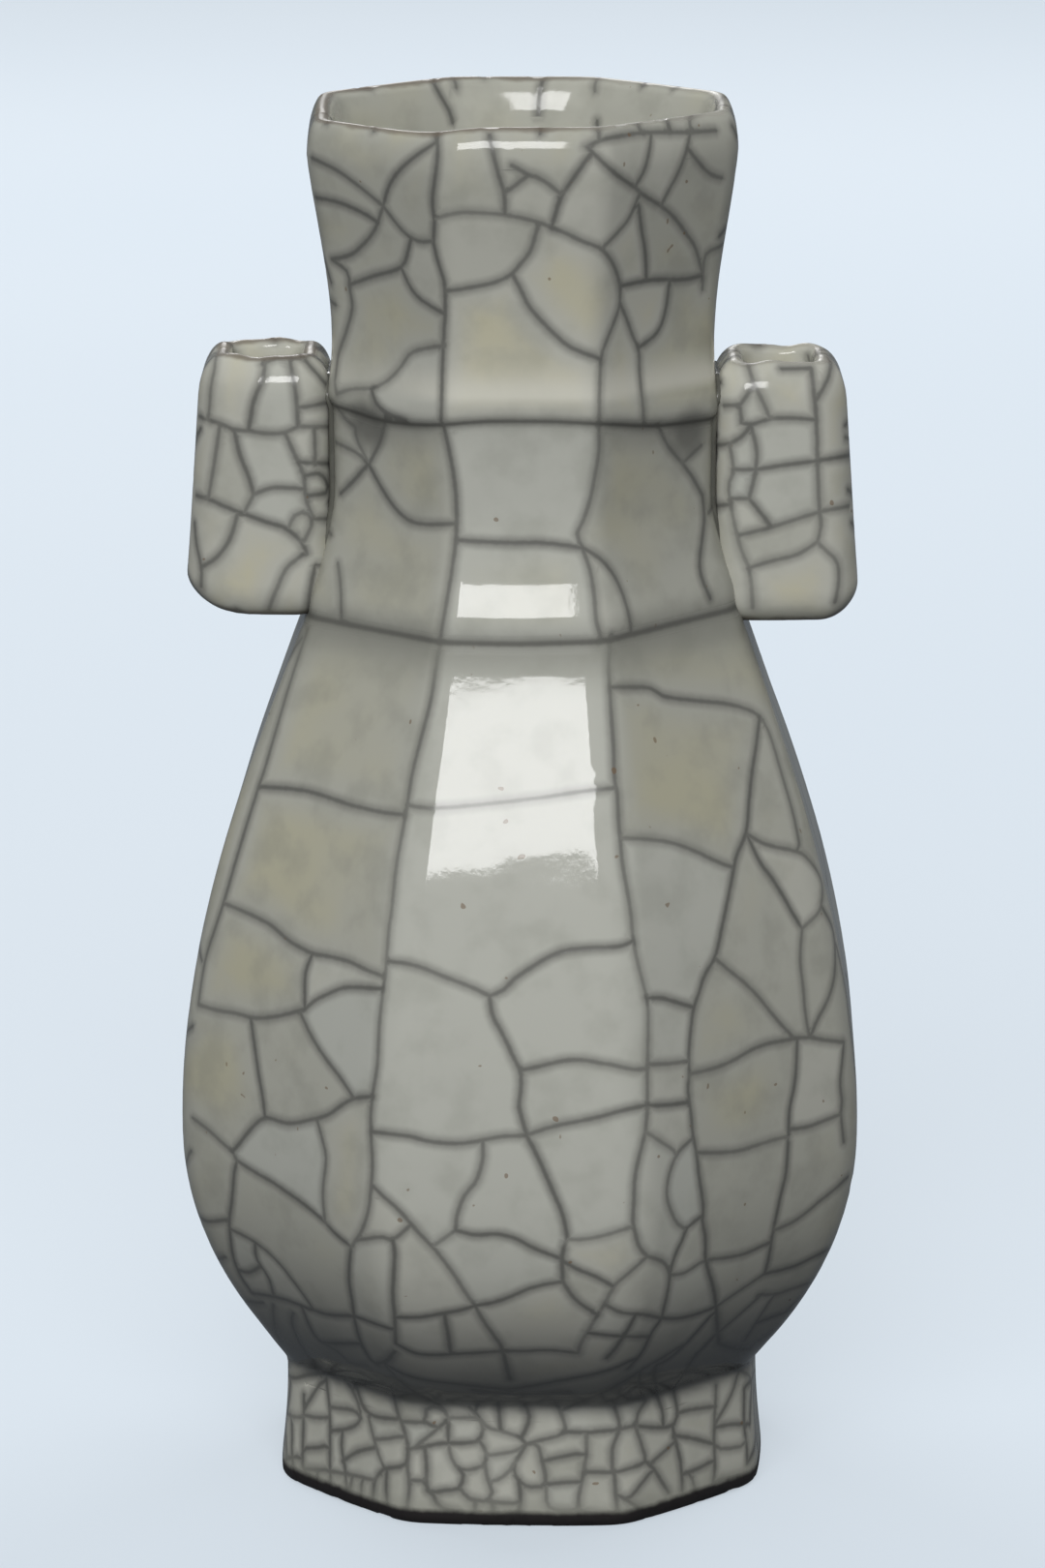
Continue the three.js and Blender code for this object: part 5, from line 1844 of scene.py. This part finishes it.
def glaze_piece(piece, node, looks, wires, slot, finish):
    """Stains and glazes a piece and hands it over. Faces after those that have looks are hidden."""
    shown = looks.shape[1]
    for label, values in zip(LOOK_LABELS, looks):
        store(piece.data, label, np.pad(values, (0, len(piece.data.polygons) - shown)), "FLOAT", "FACE")
    add_tree(piece, stain_tree, {"Crack lines": wires, "Furthest": FURTHEST, "Material": finish})
    make_plain(piece)
    set_directions(piece.data, shown)
    hand_over(piece, node)
    print(piece.name, len(piece.data.polygons), "triangles")


body_looks = patch_looks(
    body, body_shares, body_runs, body_triangles, body_patches, BODY_LOOKS, BODY_LOOK_SEED)
middle_runs = body_runs[body_triangles].mean(1)
for node, ranges in RANGES.items():
    spans = [(LEVELS[low], LEVELS[high]) for low, high in ranges]
    chosen = np.concatenate([
        np.nonzero((middle_runs > low) & (middle_runs < high))[0] for low, high in spans])
    faces = body_triangles[chosen].tolist()
    for (_, end), (start, _) in zip(spans, spans[1:] + spans[:1]):
        if end != LEVELS["axis above"]:
            faces += bridge(ring(end), ring(start))
    used, faces = np.unique(np.array(faces), return_inverse=True)
    piece = wrap_up("glazed_" + node, body_shares[used], body_runs[used], (), faces.reshape(-1, 3).tolist())
    dress = ("foot_glaze", foot_glaze) if node == "foot_ring" else ("glaze", body_glaze)
    glaze_piece(piece, node, body_looks[:, chosen], body_wires, *dress)

# %% The two handle tubes
# Scale on the distance to a handle's base, so that the painted shade there reaches further than the thin
# lip
BASE_NARROWING = 0.55
tube_width = tubes["right"].width
way_round = np.linspace(0, 1, 400)
tube_columns = marks(
    way_round * tube_width, np.interp(way_round, LEG_SHARE, LEG_TURN),
    LONGEST_STEP / 2, [0, tube_width]) / tube_width
tube_rows = marks(
    TUBE_RUN, np.unwrap(np.arctan2(TUBE_CLIMB, -TUBE_DRAW)), LONGEST_STEP / 2, [0, TUBE_RUN[-1]])
tube_crest = TUBE_RUN[np.argmax(TUBE_HEIGHT)]
tube_base = TUBE_RUN[np.argmin(TUBE_HEIGHT)]
for side, sheet in tubes.items():
    shares, runs, triangles, found = cut(
        sheet, tube_columns, tube_rows, [0, TUBE_RUN[-1]], tube_lines[side], False,
        [(tube_crest - LIP_REACH, tube_crest + LIP_REACH)])
    points, facing = tube_points(shares, runs, side)
    piece = add_mesh("glazed_handle_tube_" + side, points * MM, (), triangles.tolist())
    store(piece.data, "facing", facing, "FLOAT_VECTOR")
    # Nearness to the lip crest, and to the base, where the dark band is painted shade
    lip_and_base_gap = np.minimum(np.abs(runs - tube_crest), np.abs(runs - tube_base) * BASE_NARROWING)
    store(piece.data, "crest_gap", lip_and_base_gap)
    looks = patch_looks(sheet, shares, runs, triangles, found, HANDLE_LOOKS[side], TUBE_LOOK_SEED)
    glaze_piece(piece, "handle_tube_" + side, looks, tube_wires[side], "glaze", body_glaze)

# %% [markdown]
# ## The luted joints
# Each tube is stuck to the neck with slip. The slip squeezes out as a soft bead round the joint, and
# the glaze pools darker over it; the bead's dark colour is also painted shade of the corner between
# handle and neck. The bead follows a closed path on the side of the neck, so a tree
# sweeps a round section along it, a little thicker here and thinner there.

# %% A bead that follows the joint
BEAD_RADIUS = 0.42
BEAD_SIDES = 12
JOINT_HALF = 6.0
JOINT_LOW = TUBE_BOTTOM + 2.6
JOINT_HIGH = TUBE_TOP - 2.2
JOINT_CORNER = 2.4
JOINT_STEP = 0.5
BEAD_GRAIN = 0.004
BEAD_SEAT = 0.2

lute_tree, given = geometry_tree("lute bead", {"Radius": "Float", "Sides": "Int"})
path = given["Geometry"].node("GeometryNodeMeshToCurve", None, {"Mesh": given["Geometry"]})
swell = path.node("GeometryNodeInputPosition").noise(BEAD_GRAIN, 1.0) * 0.5 + 0.75
section = path.node(
    "GeometryNodeCurvePrimitiveCircle", {"mode": "RADIUS"},
    {"Resolution": given["Sides"], "Radius": given["Radius"]})
bead = path.node(
    "GeometryNodeCurveToMesh", None, {"Curve": path, "Profile Curve": section, "Scale": swell})
close_tree(bead, given["Material"])


def joint_path():
    """A rounded rectangle on the side of the neck, in millimetres."""
    turns = np.linspace(0, math.pi / 2, 7)
    corners = []
    for k, (y, z) in enumerate([(1, 1), (-1, 1), (-1, -1), (1, -1)]):
        centre_y = y * (JOINT_HALF - JOINT_CORNER)
        centre_z = (JOINT_HIGH - JOINT_CORNER) if z > 0 else (JOINT_LOW + JOINT_CORNER)
        angle = turns + k * math.pi / 2
        corners.append(np.stack([centre_y + JOINT_CORNER * np.cos(angle),
                                 centre_z + JOINT_CORNER * np.sin(angle)], 1))
    outline = np.vstack(corners + [corners[0][:1]])
    outline = evenly(outline, JOINT_STEP)[:-1]
    runs = np.array([outside_run(z) for z in outline[:, 1]])
    return np.column_stack([np.interp(runs, RUN, HALF) + BEAD_RADIUS * BEAD_SEAT, outline])


# A dark bead: slip and pooled glaze, and painted shade of the corner between handle and neck
slip_glaze, start, place = new_finish("dark slip bead with painted shade")
cloud = place.noise(SLIP_GRAIN, 3.0)
dark_slip_and_shade = cloud.ease(0.4, 0.75).blend(SLIP_SHADE, SLIP_PALE)
close_finish(start, {"Base Color": dark_slip_and_shade, "Roughness": cloud * 0.1 + 0.1})
for side in tubes:
    points = joint_path()
    count = len(points)
    loop = [(i, (i + 1) % count) for i in range(count)]
    piece = add_mesh("luted_joint_" + side, to_side(points, side) * MM, loop)
    add_tree(piece, lute_tree, {"Radius": BEAD_RADIUS * MM, "Sides": BEAD_SIDES, "Material": slip_glaze})
    make_plain(piece)
    hand_over(piece, "handle_lute_" + side)
    print(piece.name, len(piece.data.polygons), "faces")

for helper in [body_wires, *plan_objects, *tube_wires.values()]:
    bpy.data.objects.remove(helper)

# %% [markdown]
# ## The studio
# The photograph was taken against plain paper, with a soft window of light in front and above that
# shows as the bright patch on the belly. A weaker window stands behind, and cloths that the glaze doesn't
# mirror fill the shadows. The floor is one wide sheet of pale paper, and its own colour and faint glow,
# not more light on the vase, make the background pale. The glaze mirrors only a small share of that
# background, so that its edges stay dark as in the photograph.

# %% Floor
FLOOR_REACH = 40.0
PAPER = rgb(135, 141, 147)
PAPER_TINT = rgb(131, 138, 145)
PAPER_BOUNCE = rgb(44, 47, 50)
PAPER_GLOW = rgb(176, 184, 191)
MIRRORED_SHARE = 0.15
PALE_AIR = rgb(222, 231, 239)
AIR_LIGHT = 0.03
floor_points = [(x * FLOOR_REACH, y * FLOOR_REACH, 0) for x, y in ((-1, -1), (1, -1), (1, 1), (-1, 1))]
floor = add_mesh("paper_floor", floor_points, (), [(0, 1, 2, 3)])


def seen_rays(start):
    """1 for what the camera sees directly, and a small share for what the glaze mirrors."""
    camera_ray = start.node("ShaderNodeLightPath", None, None, "Is Camera Ray")
    mirrored_ray = camera_ray.other("Is Glossy Ray") + camera_ray.other("Is Transmission Ray")
    return (camera_ray + mirrored_ray * MIRRORED_SHARE).smallest(1.0)


paper, start, place = new_finish("paper")
tint = place.noise(0.5, 1.0).ease(0.3, 0.7).blend(PAPER, PAPER_TINT)
rays = seen_rays(start)
lit = start.node("ShaderNodeBsdfDiffuse", None, {"Color": rays.blend(PAPER_BOUNCE, tint)})
glow_colour = rays.blend(rgb(0, 0, 0), PAPER_GLOW)
glow = start.node("ShaderNodeEmission", None, {"Color": glow_colour, "Strength": 1.0})
front = start.node("ShaderNodeAddShader", None, {0: lit, 1: glow})
back = start.node("ShaderNodeBsdfTransparent")
behind = start.node("ShaderNodeNewGeometry", None, None, "Backfacing")
sheet_of_paper = start.node("ShaderNodeMixShader", None, {0: behind, 1: front, 2: back})
start.node("ShaderNodeOutputMaterial", None, {"Surface": sheet_of_paper})
floor.data.materials.append(paper)
print("floor:", 2 * FLOOR_REACH, "m square")

# %% Lamps, world and camera


def soft_box(name, place, aim, width, height, power, mirrored=True):
    """A rectangular lamp that faces a point. A cloth that isn't mirrored lights without a reflection."""
    lamp = bpy.data.lights.new(name, "AREA")
    lamp.shape = "RECTANGLE"
    lamp.size, lamp.size_y = width, height
    lamp.energy = power
    box = bpy.data.objects.new(name, lamp)
    box.location = place
    box.rotation_euler = (Vector(aim) - Vector(place)).to_track_quat("-Z", "Y").to_euler()
    box.visible_glossy = mirrored
    scene.collection.objects.link(box)


def on_arc(azimuth, elevation, distance, aim):
    """A place seen from a point, by its angle from the front towards the right, and its height angle."""
    side, up = math.radians(azimuth), math.radians(elevation)
    flat = distance * math.cos(up)
    return Vector(aim) + Vector((flat * math.sin(side), -flat * math.cos(side), distance * math.sin(up)))


AIM = (0, 0, 0.08)
COOL_AIR = (0.9, 0.95, 1.0, 1)
SENSOR = 36.0
soft_box("front window", on_arc(-4, 25.1, 1.3, AIM), AIM, 0.27, 0.287, 2.27)
soft_box("front cloth", on_arc(-7, 33, 1.9, AIM), AIM, 1.6, 1.0, 33, mirrored=False)
soft_box("top cloth", (0, 0, 1.9), AIM, 1.6, 1.6, 8, mirrored=False)
soft_box("back window", on_arc(184, 24.6, 1.3, AIM), AIM, 0.27, 0.31, 1.3)
for side in (-140, 140):
    soft_box("back cloth", on_arc(side, 30, 1.9, AIM), AIM, 1.2, 1.0, 18, mirrored=False)
world = bpy.data.worlds.new("studio air")
world.use_nodes = True
world.node_tree.nodes.clear()
air = Signal(world.node_tree)
rays = seen_rays(air)
dim = air.node("ShaderNodeBackground", None, {"Color": COOL_AIR, "Strength": AIR_LIGHT})
pale = air.node("ShaderNodeBackground", None, {"Color": PALE_AIR, "Strength": 1.0})
sky = air.node("ShaderNodeMixShader", None, {0: rays, 1: dim, 2: pale})
air.node("ShaderNodeOutputWorld", None, {"Surface": sky})
scene.world = world
camera = bpy.data.cameras.new("photo camera")
camera.sensor_width = SENSOR
camera.lens = SENSOR * FOCAL_PIXELS / PHOTO_SIZE[1]
stand = bpy.data.objects.new("photo camera", camera)
stand.location = CAMERA_PLACE * MM
stand.rotation_euler = (math.pi / 2 - CAMERA_PITCH, 0, 0)
scene.collection.objects.link(stand)
scene.camera = stand
scene.view_settings.view_transform = "Standard"
print("studio:", len(bpy.data.lights), "lamps, lens", round(camera.lens, 1), "mm")
